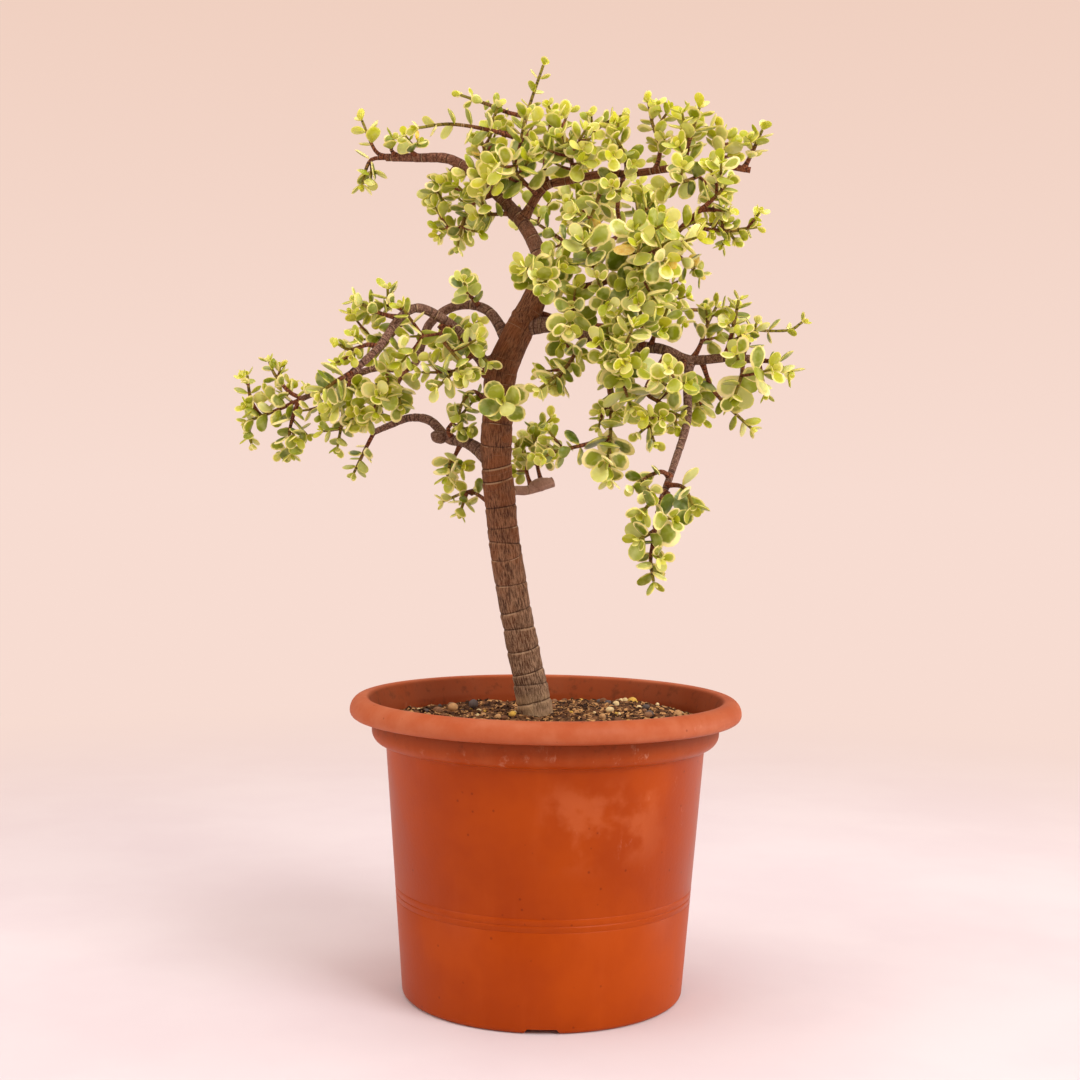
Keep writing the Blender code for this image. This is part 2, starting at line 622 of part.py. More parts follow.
# ---- Build -------------------------------------------------------------------------------------
def make_wood(parts):
    """The trunk and its limbs. Gives each line, with its radii, and each object by name."""
    lines = {}
    items = {}
    bark = finish("bark", (0.150, 0.075, 0.052), 0.85)
    path = trunk_line()
    lines["trunk"] = (path, [trunk_radius(place) for place in path])
    items["trunk"] = tube("trunk", *lines["trunk"], 3, bark, parts)
    young_bark = finish("young_bark", (0.190, 0.070, 0.045), 0.75)
    for name, parent, base, tip, drawn in LIMBS:
        node = f"limb_{name}"
        base *= MM * LIMB_THICKNESS
        tip *= MM * LIMB_THICKNESS
        path = branch_line(lines[parent], drawn, 2, base)
        lines[node] = (path, tapered(path, base, tip))
        items[node] = tube(node, *lines[node], 1, young_bark, parts)
    return lines, items


def make_shoots(parts, lines, items, others):
    """Every twig first, and then the leaves, so that no leaf stands in a twig's way."""
    leaf_green = finish("leaf", (0.250, 0.330, 0.075), 0.45)
    base = TWIG_RADIUS * MM * LIMB_THICKNESS
    tip = TWIG_TIP * MM * LIMB_THICKNESS
    twigs = {}
    for name, parent, leaf, pairs, drawn in SHOOTS:
        node = f"shoot_{name}"
        curve = branch_line(lines[parent], drawn, 4, base)
        lines[node] = (curve, tapered(curve, base, tip))
        stations = twig_stations(curve, pairs)
        path = [place_along(curve, distance)[0] for distance in stations]
        items[node] = tube(node, path, tapered(path, base, tip), 0, leaf_green, parts)
        twigs[node] = (curve, stations, leaf * MM * LEAF_SIZE)
    trees = {node: tree_of(item) for node, item in items.items()}
    trees.update({item.name: tree_of(item) for item in others})
    for node, (curve, stations, leaf_length) in twigs.items():
        neighbours = [tree for other, tree in trees.items() if other != node]
        grow_leaves(items[node], curve, stations, leaf_length, neighbours)
        trees[node] = tree_of(items[node])


def main():
    clear_scene()
    parts = new_collection("potted_elephant_bush")
    cutters = new_collection("cutters")
    make_pot(parts, cutters)
    lines, items = make_wood(parts)
    soil = make_soil(parts, cutters, lines["trunk"][0])
    colours = {"tan": (0.42, 0.30, 0.17), "grey": (0.10, 0.10, 0.11), "yellow": (0.50, 0.36, 0.12)}
    for name, place, half_sizes in STONES:
        make_stone(name, place, half_sizes, tree_of(soil), colours[name], parts)
    make_shoots(parts, lines, items, [soil])


main()
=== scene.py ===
# %% [markdown]
# # A potted elephant bush
# The plant is a small succulent tree. It has one leaning trunk with ring scars, a few crooked
# limbs, and many short red-brown twigs that carry thick round leaves in crossed pairs. Each leaf
# is green in the middle and cream at the edge. It grows in potting mix in a plastic pot.
#
# The imported model gives the sizes and places. Everything is in metres, with +Z up, +X to the
# right and +Y away from the viewer. The box of the imported model is kept, and at the end it is
# printed beside the box of the visual model.
# %% Load the imported model
import math
import random

import bmesh
import bpy
from mathutils import Matrix, Vector, noise
from mathutils.bvhtree import BVHTree
from mathutils.kdtree import KDTree


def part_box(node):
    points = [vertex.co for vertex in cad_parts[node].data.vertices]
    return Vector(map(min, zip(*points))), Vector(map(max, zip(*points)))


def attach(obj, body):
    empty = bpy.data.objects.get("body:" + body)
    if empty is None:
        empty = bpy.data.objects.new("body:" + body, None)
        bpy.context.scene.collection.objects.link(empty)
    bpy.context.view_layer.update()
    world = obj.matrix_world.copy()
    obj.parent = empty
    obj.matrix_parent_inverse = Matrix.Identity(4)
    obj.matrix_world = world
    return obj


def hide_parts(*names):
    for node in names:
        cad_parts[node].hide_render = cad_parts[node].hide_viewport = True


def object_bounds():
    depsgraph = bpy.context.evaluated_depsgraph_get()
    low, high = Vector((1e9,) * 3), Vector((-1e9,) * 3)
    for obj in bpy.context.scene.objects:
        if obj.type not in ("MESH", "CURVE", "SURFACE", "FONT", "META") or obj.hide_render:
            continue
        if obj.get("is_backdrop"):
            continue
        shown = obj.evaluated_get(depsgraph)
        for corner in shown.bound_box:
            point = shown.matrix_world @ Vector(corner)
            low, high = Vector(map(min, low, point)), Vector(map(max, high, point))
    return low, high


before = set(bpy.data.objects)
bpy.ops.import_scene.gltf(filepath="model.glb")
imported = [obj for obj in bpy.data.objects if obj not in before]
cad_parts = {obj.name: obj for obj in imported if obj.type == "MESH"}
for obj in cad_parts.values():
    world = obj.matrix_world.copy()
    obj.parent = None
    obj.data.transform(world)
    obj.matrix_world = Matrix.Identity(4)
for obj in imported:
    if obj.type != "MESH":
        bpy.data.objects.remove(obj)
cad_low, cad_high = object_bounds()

CM = 0.01
MM = 0.001
POLE = 0.001
WELD = 0.00003
print("packed box in mm:", [round(size / MM) for size in cad_high - cad_low])

# %% [markdown]
# ## Small helpers
# An operator acts on everything that is selected, so one piece is made the only selected one
# before each step. In edit mode, parts of a mesh are chosen by a test on their place or normal,
# which is what a person does with the mouse. A finished piece has its place in its mesh, so any
# location or turn that a primitive was given is applied.
# %% Selecting, editing and applying
def mixed(a, b, share):
    """A number or a vector between two others."""
    return a + (b - a) * share


def only(*items):
    """Makes these the only selected objects, and the first one the active one."""
    bpy.ops.object.select_all(action="DESELECT")
    for item in items:
        item.select_set(True)
    bpy.context.view_layer.objects.active = items[0]


def added(name):
    """Names the object that an operator has just added."""
    item = bpy.context.view_layer.objects.active
    item.name = name
    item.data.name = name
    return item


def choose(item, test, kind="faces"):
    """In edit mode, selects the faces or vertices that pass the test."""
    bpy.ops.mesh.select_mode(type={"faces": "FACE", "verts": "VERT"}[kind])
    bpy.ops.mesh.select_all(action="DESELECT")
    shape = bmesh.from_edit_mesh(item.data)
    for part in getattr(shape, kind):
        part.select_set(test(part))
    shape.select_flush_mode()
    bmesh.update_edit_mesh(item.data)


def edit(item):
    only(item)
    bpy.ops.object.mode_set(mode="EDIT")
    bpy.ops.mesh.select_all(action="SELECT")


def stop_editing():
    bpy.ops.object.mode_set(mode="OBJECT")


def apply_modifiers(item):
    only(item)
    for modifier in list(item.modifiers):
        bpy.ops.object.modifier_apply(modifier=modifier.name)


def joined(name, items):
    """Joins pieces whose places are in their meshes into one."""
    only(*items)
    if len(items) > 1:
        bpy.ops.object.join()
    return added(name)


def smooth(item, angle=40):
    only(item)
    bpy.ops.object.shade_smooth_by_angle(angle=math.radians(angle))


def lumps(item, size, strength):
    """Pushes the surface in and out with a soft noise of this size."""
    texture = bpy.data.textures.new(f"{item.name}_lumps", "CLOUDS")
    texture.noise_scale = size
    texture.noise_depth = 2
    modifier = item.modifiers.new("lumps", "DISPLACE")
    modifier.texture = texture
    modifier.texture_coords = "LOCAL"
    modifier.strength = strength
    modifier.mid_level = 0.5
    apply_modifiers(item)


# %% [markdown]
# ## Shader sums
# A finish is a set of nodes. Written as plain sums, such as `1 - mask * 0.4`, it is far easier
# to read. `Wire` is a socket that can be added, multiplied and so on, and each sum adds one Math
# node. `Finish` makes the material, and its one method `node` adds any other node.
# %% Wires and finishes
class Wire:
    """A node's output, which can be used in a sum."""

    def __init__(self, finish, socket):
        self.finish = finish
        self.socket = socket

    def math(self, operation, *values):
        inputs = dict(enumerate(values))
        return self.finish.node("ShaderNodeMath", {"operation": operation}, inputs)

    def __add__(self, other):
        return self.math("ADD", self, other)

    def __sub__(self, other):
        return self.math("SUBTRACT", self, other)

    def __rsub__(self, other):
        return self.math("SUBTRACT", other, self)

    def __mul__(self, other):
        return self.math("MULTIPLY", self, other)

    __radd__ = __add__
    __rmul__ = __mul__

    def root(self):
        return self.math("SQRT", self)

    def distance_to(self, other):
        return self.math("ABSOLUTE", self - other)

    def rise(self, low, high):
        """0 below low, 1 above high and a soft step between them. With low above high it falls."""
        settings = {"interpolation_type": "SMOOTHSTEP", "clamp": True}
        inputs = {"Value": self, "From Min": low, "From Max": high}
        return self.finish.node("ShaderNodeMapRange", settings, inputs)


class Finish:
    """A material that is put together from wires."""

    def __init__(self, name):
        self.material = bpy.data.materials.new(name)
        self.material.use_nodes = True
        self.tree = self.material.node_tree
        self.shader = self.tree.nodes["Principled BSDF"]

    def node(self, kind, settings=None, inputs=None, output=0):
        node = self.tree.nodes.new(kind)
        for name, value in (settings or {}).items():
            setattr(node, name, value)
        for name, value in (inputs or {}).items():
            self.join(value, node.inputs[name])
        return Wire(self, node.outputs[output])

    def join(self, value, socket):
        if isinstance(value, Wire):
            self.tree.links.new(value.socket, socket)
        elif isinstance(value, tuple) and len(value) == 3 and socket.type == "RGBA":
            socket.default_value = (*value, 1)
        else:
            socket.default_value = value

    def place(self):
        return self.node("ShaderNodeTexCoord", output="Object")

    def attribute(self, name):
        return self.node("ShaderNodeAttribute", {"attribute_name": name}, output="Vector")

    def number(self, name):
        return self.node("ShaderNodeAttribute", {"attribute_name": name}, output="Fac")

    def parts(self, vector):
        split = self.node("ShaderNodeSeparateXYZ", inputs={0: vector}).socket.node
        return [Wire(self, socket) for socket in split.outputs]

    def stretch(self, vector, scale):
        return self.node("ShaderNodeMapping", inputs={"Vector": vector, "Scale": scale})

    def noise(self, vector, scale, detail=3, roughness=0.55):
        inputs = {"Vector": vector, "Scale": scale, "Detail": detail, "Roughness": roughness}
        return self.node("ShaderNodeTexNoise", inputs=inputs)

    def mix(self, share, first, second):
        """Blends two colours."""
        settings = {"data_type": "RGBA"}
        return self.node("ShaderNodeMix", settings, {0: share, 6: first, 7: second}, output=2)

    def surface(self, colour, roughness, bump=None, depth=0.001, **constants):
        """Sends the colour, roughness and bump to the shader, and sets plain numbers on it."""
        self.join(colour, self.shader.inputs["Base Color"])
        self.join(roughness, self.shader.inputs["Roughness"])
        if bump is not None:
            inputs = {"Height": bump, "Distance": depth, "Strength": 1.0}
            normal = self.node("ShaderNodeBump", inputs=inputs)
            self.join(normal, self.shader.inputs["Normal"])
        for name, value in constants.items():
            self.shader.inputs[name.replace("_", " ")].default_value = value
        return self.material


def tone(red, green, blue):
    """A colour given from 0 to 255 as on a screen, in the shader's own linear values."""
    return tuple((value / 255) ** 2.2 for value in (red, green, blue))


# %% [markdown]
# ## Camera, light and floor
# The camera stands a little over a metre away, above the rim, with a lens of about 54 mm and a
# very slight tilt. The light is soft daylight from a large source, a little stronger from the
# right and the front, so shadows are faint. The floor is pale paper. Far from the plant it fades
# into the colour of the air, so that no horizon shows from any side.
# %% Camera
EYE = Vector((-0.0056, -1.115, 0.347))
LOOK_DOWN = 0.0308
ROLL = 0.0144
LENS = 53.8

bpy.ops.object.camera_add(location=EYE)
camera = added("camera")
camera.data.lens = LENS
camera.data.sensor_width = 36
look = Matrix.Rotation(math.pi / 2 - LOOK_DOWN, 3, "X") @ Matrix.Rotation(ROLL, 3, "Z")
camera.rotation_euler = look.to_euler()
bpy.context.scene.camera = camera

# %% Light
AIR = tone(247, 219, 208)
AIR_HIGH = tone(238, 204, 187)
DAYLIGHT = (1.0, 0.965, 0.945)
AMBIENT = 0.70


def soft_lamp(name, place, target, size, power, colour):
    """A large square lamp that faces the target."""
    bpy.ops.object.light_add(type="AREA", location=place)
    lamp = added(name)
    lamp.data.shape = "SQUARE"
    lamp.data.size = size
    lamp.data.energy = power
    lamp.data.color = colour
    lamp.rotation_euler = (Vector(target) - Vector(place)).to_track_quat("-Z", "Y").to_euler()


crown = (0, 0, 0.4)
soft_lamp("window", (1.5, -1.5, 1.7), crown, 1.3, 46, DAYLIGHT)
soft_lamp("ceiling", (-0.3, 0.2, 2.4), crown, 2.2, 26, DAYLIGHT)
soft_lamp("reflector", (-1.9, -0.8, 0.9), crown, 1.4, 14, (1.0, 0.95, 0.92))
soft_lamp("side wall", (1.9, 0.3, 0.35), (0, 0, 0.15), 0.6, 8, (1.0, 0.92, 0.86))

world = bpy.data.worlds.new("studio")
bpy.context.scene.world = world
world.use_nodes = True
nodes = world.node_tree.nodes
links = world.node_tree.links
backing = nodes["Background"]
direction = nodes.new("ShaderNodeTexCoord")
height = nodes.new("ShaderNodeSeparateXYZ")
fade = nodes.new("ShaderNodeMapRange")
fade.inputs["From Min"].default_value = 0.0
fade.inputs["From Max"].default_value = 0.35
sky = nodes.new("ShaderNodeMix")
sky.data_type = "RGBA"
sky.inputs[6].default_value = (*AIR, 1)
sky.inputs[7].default_value = (*AIR_HIGH, 1)
links.new(direction.outputs["Generated"], height.inputs[0])
links.new(height.outputs[2], fade.inputs["Value"])
links.new(fade.outputs[0], sky.inputs[0])
links.new(sky.outputs[2], backing.inputs["Color"])
seen = nodes.new("ShaderNodeLightPath")
strength = nodes.new("ShaderNodeMapRange")
strength.inputs["To Min"].default_value = AMBIENT
strength.inputs["To Max"].default_value = 1.0
links.new(seen.outputs["Is Camera Ray"], strength.inputs["Value"])
links.new(strength.outputs[0], backing.inputs["Strength"])
bpy.context.scene.view_settings.view_transform = "Standard"

# %% Floor
FLOOR_REACH = 30.0
FLOOR_RINGS = 3
PAPER_FROM = 0.45
PAPER_TO = 1.5

bpy.ops.mesh.primitive_circle_add(vertices=96, radius=FLOOR_REACH, fill_type="NGON")
floor = added("floor")
edit(floor)
for _ in range(FLOOR_RINGS):
    bpy.ops.mesh.inset(thickness=FLOOR_REACH * 0.1)
stop_editing()
paper = Finish("paper")
x, y, _ = paper.parts(paper.place())
reach = (x * x + y * y).root()
far = reach.rise(PAPER_FROM, PAPER_TO)
grain = paper.noise(paper.place(), 5, 4)
paper.surface(paper.mix(grain.rise(0.3, 0.7), tone(222, 215, 222), tone(227, 222, 228)), 0.9)
glow = paper.node("ShaderNodeEmission", inputs={"Color": AIR, "Strength": 1.0})
lit = Wire(paper, paper.shader.outputs[0])
blend = paper.node("ShaderNodeMixShader", inputs={0: far, 1: lit, 2: glow})
paper.join(blend, paper.tree.nodes["Material Output"].inputs["Surface"])
floor.data.materials.append(paper.material)
floor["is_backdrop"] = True
print("floor reaches", FLOOR_REACH, "m")

# %% [markdown]
# ## The pot
# The pot is injection moulded: a thin tapered wall, a straight collar and a thick rolled lip.
# Because it is round, half of its outline is drawn point by point and spun about the middle.
# A Screw modifier would do the same, but an outline that is extruded vertex by vertex and then
# spun in edit mode is the plainest way to control each fillet. Three fine grooves run round the
# body. The foot ring has four notches that let water out, and the floor has six holes.
# %% Sizes of the pot
pot_low, pot_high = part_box("pot")
POT_HEIGHT = pot_high.z
RIM_RADIUS = pot_high.x
LIP_HEIGHT = 0.0143
LIP_WIDTH = 0.0134
LIP_WIDEST_DROP = 0.0095
COLLAR_RADIUS = 0.1198
COLLAR_HEIGHT = 0.018
COLLAR_ROUND = 0.009
BODY_TOP_RADIUS = 0.110
BASE_RADIUS = 0.097
BASE_ROUND = 0.0035
WALL = 0.0025
FLOOR_LIFT = 0.004
FOOT_WIDTH = 0.007
BOSS_RADIUS = 0.018
GROOVES = (0.0755, 0.0707, 0.0665)
GROOVE_DEPTH = 0.00032
GROOVE_HALF = 0.0006
POT_STEPS = 160

collar_top = POT_HEIGHT - LIP_HEIGHT
collar_bottom = collar_top - COLLAR_HEIGHT
collar_inside = COLLAR_RADIUS - WALL
body_inside = BODY_TOP_RADIUS - WALL
floor_top = FLOOR_LIFT + WALL
print("pot", round(POT_HEIGHT, 4), "m tall, rim radius", round(RIM_RADIUS, 4))


# %% Outline of the pot
def arc(middle, radii, start, end, steps):
    """Points on a round or oval corner, from one angle in degrees to another."""
    points = []
    for step in range(steps + 1):
        angle = math.radians(start + (end - start) * step / steps)
        points.append((middle[0] + radii[0] * math.cos(angle),
                       middle[1] + radii[1] * math.sin(angle)))
    return points


def body_radius(z):
    """Outside radius of the tapered body at this height."""
    share = (z - BASE_ROUND) / (collar_bottom - BASE_ROUND)
    return BASE_RADIUS + (BODY_TOP_RADIUS - BASE_RADIUS) * share


def pot_outline():
    """From the middle of the floor up the inside, over the lip and down the outside."""
    round_in = BASE_ROUND + WALL
    base_in = BASE_RADIUS - WALL
    outline = [(POLE, floor_top)]
    outline += arc((base_in - round_in, floor_top + round_in), (round_in, round_in), -90, 0, 6)
    outline += arc((body_inside + COLLAR_ROUND, collar_bottom + COLLAR_ROUND * 0.2),
                   (COLLAR_ROUND, COLLAR_ROUND * 0.8), 180, 100, 4)
    outline += [(collar_inside, collar_bottom + COLLAR_ROUND * 1.3), (collar_inside, collar_top)]
    lip_in = RIM_RADIUS - LIP_WIDTH
    crown_x = lip_in + LIP_WIDTH * 0.38
    outline += arc((crown_x, POT_HEIGHT - WALL), (crown_x - lip_in, WALL), 180, 100, 5)
    outline += arc((crown_x, POT_HEIGHT - LIP_WIDEST_DROP),
                   (RIM_RADIUS - crown_x, LIP_WIDEST_DROP), 90, 0, 9)
    outline += arc((RIM_RADIUS - LIP_WIDTH * 0.35, collar_top + LIP_HEIGHT * 0.33),
                   (LIP_WIDTH * 0.35, LIP_HEIGHT * 0.33), -15, -80, 4)
    outline += [(COLLAR_RADIUS + 0.001, collar_top + WALL * 0.2),
                (COLLAR_RADIUS, collar_top - 0.0006)]
    outline += arc((COLLAR_RADIUS - COLLAR_ROUND, collar_bottom + COLLAR_ROUND),
                   (COLLAR_ROUND, COLLAR_ROUND), 0, -76, 7)
    outline += [(BODY_TOP_RADIUS + 0.0006, collar_bottom - 0.0004),
                (body_radius(collar_bottom - 0.002), collar_bottom - 0.002)]
    for z in GROOVES:
        outline += [(body_radius(z), z + GROOVE_HALF), (body_radius(z) - GROOVE_DEPTH, z),
                    (body_radius(z), z - GROOVE_HALF)]
    outline += arc((BASE_RADIUS - BASE_ROUND, BASE_ROUND), (BASE_ROUND, BASE_ROUND), 0, -90, 6)
    foot = BASE_RADIUS - BASE_ROUND - FOOT_WIDTH
    outline += [(foot, 0), (foot - FLOOR_LIFT * 0.5, FLOOR_LIFT),
                (BOSS_RADIUS + FLOOR_LIFT * 0.5, FLOOR_LIFT), (BOSS_RADIUS, 0), (POLE, 0)]
    return outline


# %% Spin the outline
def draw_outline(name, outline):
    """One vertex of a tiny plane, extruded from point to point."""
    bpy.ops.mesh.primitive_plane_add(size=MM, location=(outline[0][0], 0, outline[0][1]))
    item = added(name)
    only(item)
    bpy.ops.object.transform_apply()
    edit(item)
    bpy.ops.mesh.merge(type="CENTER")
    for (x0, z0), (x1, z1) in zip(outline, outline[1:]):
        bpy.ops.mesh.extrude_region_move(TRANSFORM_OT_translate={"value": (x1 - x0, 0, z1 - z0)})
    return item


def spin_outline(name, outline, steps):
    """Spins an outline round the middle, closes its poles and turns its faces outwards."""
    item = draw_outline(name, outline)
    bpy.ops.mesh.select_all(action="SELECT")
    bpy.ops.mesh.spin(steps=steps, angle=math.tau, center=(0, 0, 0), axis=(0, 0, 1))
    bpy.ops.mesh.select_all(action="SELECT")
    bpy.ops.mesh.remove_doubles(threshold=WELD)
    bpy.ops.mesh.select_mode(type="EDGE")
    bpy.ops.mesh.select_all(action="DESELECT")
    bpy.ops.mesh.select_non_manifold()
    bpy.ops.mesh.fill_holes(sides=0)
    bpy.ops.mesh.select_all(action="SELECT")
    bpy.ops.mesh.normals_make_consistent(inside=False)
    stop_editing()
    return item


pot = spin_outline("pot_shell", pot_outline(), POT_STEPS)

# %% Notches and drainage holes
NOTCHES = 4
NOTCH_WIDTH = 0.019
NOTCH_SPREAD = 0.0025
NOTCH_HEIGHT = 0.0034
HOLES = 6
HOLE_RADIUS = 0.005
HOLE_CIRCLE = 0.055


def cut_away(item, cutters):
    """Cuts these shapes out of a piece and removes them."""
    cutter = joined("cutter", cutters)
    modifier = item.modifiers.new("cut", "BOOLEAN")
    modifier.operation = "DIFFERENCE"
    modifier.solver = "EXACT"
    modifier.object = cutter
    apply_modifiers(item)
    bpy.data.objects.remove(cutter, do_unlink=True)


cutters = []
for index in range(NOTCHES):
    angle = math.tau * index / NOTCHES - math.pi / 2
    reach = Vector((math.cos(angle), math.sin(angle), 0)) * BASE_RADIUS
    bpy.ops.mesh.primitive_cube_add(size=1, location=reach, rotation=(0, 0, angle),
                                    scale=(0.035, NOTCH_WIDTH, NOTCH_HEIGHT * 2))
    wedge = added("wedge")
    bpy.ops.object.transform_apply()
    edit(wedge)
    choose(wedge, lambda face: face.normal.z < -0.9)
    wider = 1 + 4 * NOTCH_SPREAD / NOTCH_WIDTH
    sideways = abs(math.sin(angle)) > 0.5
    bpy.ops.transform.resize(value=(wider if sideways else 1, 1 if sideways else wider, 1))
    stop_editing()
    cutters.append(wedge)
for index in range(HOLES):
    angle = math.tau * (index + 0.5) / HOLES
    place = (HOLE_CIRCLE * math.cos(angle), HOLE_CIRCLE * math.sin(angle), FLOOR_LIFT)
    bpy.ops.mesh.primitive_cylinder_add(vertices=24, radius=HOLE_RADIUS, depth=0.012,
                                        location=place)
    bpy.ops.object.transform_apply()
    cutters.append(added("drill"))
cut_away(pot, cutters)
smooth(pot, 34)
print("pot:", len(pot.data.polygons), "faces")

# %% [markdown]
# ## Finish of the pot
# The plastic is terracotta coloured, satin on the body and duller on the weathered lip. It has
# chalky water marks on the collar and on the upper right of the body, darker glossy wiped
# patches, vertical smears and small dark specks. Each is a mask: noise that is stretched, then
# cut off with a soft step, and kept to a zone by height. A pale patch of painted sheen on the
# front of the upper right body stands in for a reflection of the window. The inside of the rim
# is darkened with painted shade, as if in the pot's own shadow, and spots of real dirt darken it
# further.
# %% Plastic
plastic = Finish("terracotta_plastic")
spot = plastic.place()
x, y, z = plastic.parts(spot)
cloudy = plastic.noise(spot, 14, 4)
fine = plastic.noise(spot, 420, 3)
smear = plastic.noise(plastic.stretch(spot, (1, 1, 0.16)), 60, 5, 0.65)
out_from_middle = (x * x + y * y).root()
on_lip = z.rise(collar_top - 0.001, collar_top + 0.002)
on_collar = z.rise(collar_bottom - 0.003, collar_bottom + 0.004) * (1 - on_lip)
inside = out_from_middle.rise(RIM_RADIUS - LIP_WIDTH + 0.003, RIM_RADIUS - LIP_WIDTH)
inside = inside * z.rise(collar_bottom, collar_top)
colour = plastic.mix(cloudy.rise(0.35, 0.7), tone(156, 61, 0), tone(170, 70, 0))
colour = plastic.mix(smear.rise(0.50, 0.78) * 0.10, colour, tone(200, 92, 40))
colour = plastic.mix(on_collar * (smear.rise(0.35, 0.7) * 0.55 + 0.15), colour, tone(170, 82, 42))
worn = plastic.noise(spot, 30, 5, 0.6).rise(0.34, 0.70)
colour = plastic.mix(on_lip * (worn * 0.42 + 0.36), colour, tone(188, 112, 80))
chalk_zone = z.rise(0.085, 0.17) * x.rise(-0.02, 0.06) + on_collar * 0.75
chalk = plastic.noise(plastic.stretch(spot, (1, 1, 0.6)), 95, 7, 0.72).rise(0.56, 0.70)
chalk = chalk * plastic.noise(spot, 22, 3).rise(0.5, 0.62) * chalk_zone
chalk = chalk.math("MINIMUM", chalk, 1)
colour = plastic.mix(chalk * 0.5, colour, tone(228, 172, 142))
# Painted sheen: a pale vertical patch on the front of the upper right body stands in for a
# reflection of the window.
painted_window_sheen = x.distance_to(0.036).rise(0.050, 0.022) * z.rise(0.098, 0.128)
painted_window_sheen = painted_window_sheen * z.rise(0.170, 0.150) * plastic.noise(spot, 34, 4, 0.55).rise(0.42, 0.60)
colour = plastic.mix(painted_window_sheen * y.rise(0, -0.04) * 0.28, colour, tone(210, 120, 76))
specks = plastic.node("ShaderNodeTexVoronoi", {"feature": "F1"}, {"Vector": spot, "Scale": 105})
speck_kind = plastic.noise(spot, 105, 0)
dots = specks.rise(0.12, 0.06) * speck_kind.rise(0.48, 0.54)
colour = plastic.mix(dots * 0.5, colour, tone(98, 38, 12))
# Painted shade: the inside wall of the collar is darkened as if in the pot's own shadow. The noisy
# spots after it are real dirt.
colour = plastic.mix(inside * 0.75, colour, tone(126, 60, 32))
dirt = plastic.noise(spot, 120, 5, 0.7).rise(0.5, 0.72) * inside
colour = plastic.mix(dirt * 0.5, colour, tone(80, 46, 26))
gloss = 0.33 + cloudy.rise(0.3, 0.7) * 0.12 + on_lip * 0.15 + chalk * 0.3 + inside * 0.2
bump = fine * 0.12 + cloudy * 0.5 + chalk * 0.2
pot.data.materials.clear()
pot.data.materials.append(plastic.surface(colour, gloss, bump, 0.0006, Specular_IOR_Level=0.13))
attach(pot, "root")
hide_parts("pot")

# %% [markdown]
# ## The soil
# Potting mix is crumbly, so a flat disc with a bump map looks like carpet. Here the top is a
# slab that is voxel remeshed into small even faces, tilted up towards the right wall and pushed
# in and out by noise of three sizes. A plain block under it fills the pot and shows through the
# drainage holes. Crumbs and gravel are separate small lumps that lie on it.
# %% The slab and the block
SOIL_DROP = 0.018
SOIL_LEVEL = POT_HEIGHT - SOIL_DROP
SOIL_RISE = 0.005
SOIL_GAP = 0.0004
SLAB = 0.010
MOUND = Vector((0.045, 0.035, 0.0045))
MOUND_REACH = 0.038
VOXEL = 0.0017
SOIL_LUMPS = ((0.035, 0.0050), (0.010, 0.0045), (0.0035, 0.0022))
slab_radius = collar_inside - SOIL_GAP * 2

bpy.ops.object.select_all(action="DESELECT")
bpy.ops.mesh.primitive_cylinder_add(vertices=96, radius=slab_radius - 0.0012, depth=SLAB,
                                    location=(0, 0, SOIL_LEVEL - SLAB / 2))
slab = added("soil_top")
bpy.ops.object.transform_apply()
edit(slab)
choose(slab, lambda face: face.normal.z > 0.9)
bpy.ops.mesh.inset(thickness=0.02)
bpy.ops.transform.rotate(value=math.atan(SOIL_RISE / slab_radius) * 0.8, orient_axis="Y",
                         center_override=(-0.02, 0, SOIL_LEVEL))
stop_editing()
remesh = slab.modifiers.new("even faces", "REMESH")
remesh.mode = "VOXEL"
remesh.voxel_size = VOXEL
apply_modifiers(slab)
for size, strength in SOIL_LUMPS:
    lumps(slab, size, strength)
for vert in slab.data.vertices:
    far_from_mound = (vert.co.xy - MOUND.xy).length / MOUND_REACH
    vert.co.z += MOUND.z * math.exp(-(far_from_mound ** 2))
    radius = math.hypot(vert.co.x, vert.co.y)
    up_collar = (vert.co.z - collar_bottom - COLLAR_ROUND * 0.3) / COLLAR_ROUND
    limit = mixed(body_inside, collar_inside, min(max(up_collar, 0), 1)) - SOIL_GAP * 2
    if radius > limit:
        vert.co.x *= limit / radius
        vert.co.y *= limit / radius
smooth(slab, 60)

bottom = floor_top + SOIL_GAP
corner = BASE_RADIUS - WALL - 0.007
block_top = SOIL_LEVEL - SLAB + 0.002
low_outline = [(POLE, block_top), (collar_inside - 0.011, block_top),
               (body_inside - 0.001, collar_bottom - 0.002),
               (BASE_RADIUS - WALL - 0.001, bottom + 0.006), (corner, bottom), (POLE, bottom)]
block = spin_outline("soil_block", low_outline, 64)
smooth(block, 40)
print("soil top:", len(slab.data.polygons), "faces")


# %% [markdown]
# ## Crumbs and gravel
# Hundreds of small lumps need a shape with few faces. One icosphere of eighty faces, dented in
# edit mode, serves for the gravel, and one of twenty for the crumbs. Each copy is squashed and
# turned by its own random numbers, which start from a fixed seed, and dropped on the soil.
# %% Scatter
def surface_tree(item):
    points = [vert.co.copy() for vert in item.data.vertices]
    return BVHTree.FromPolygons(points, [tuple(face.vertices) for face in item.data.polygons])


def lump_shape(name, subdivisions):
    bpy.ops.mesh.primitive_ico_sphere_add(subdivisions=subdivisions, radius=1)
    item = added(name)
    edit(item)
    choose(item, lambda face: face.normal.x > 0.45)
    bpy.ops.transform.translate(value=(-0.22, 0, 0.05))
    choose(item, lambda face: face.normal.y < -0.5)
    bpy.ops.transform.resize(value=(0.8, 0.8, 0.9))
    stop_editing()
    return item


def copy_of(template, name, matrix):
    """A copy with its own mesh, and with its place in that mesh."""
    mesh = template.data.copy()
    mesh.transform(matrix)
    item = bpy.data.objects.new(name, mesh)
    bpy.context.scene.collection.objects.link(item)
    return item


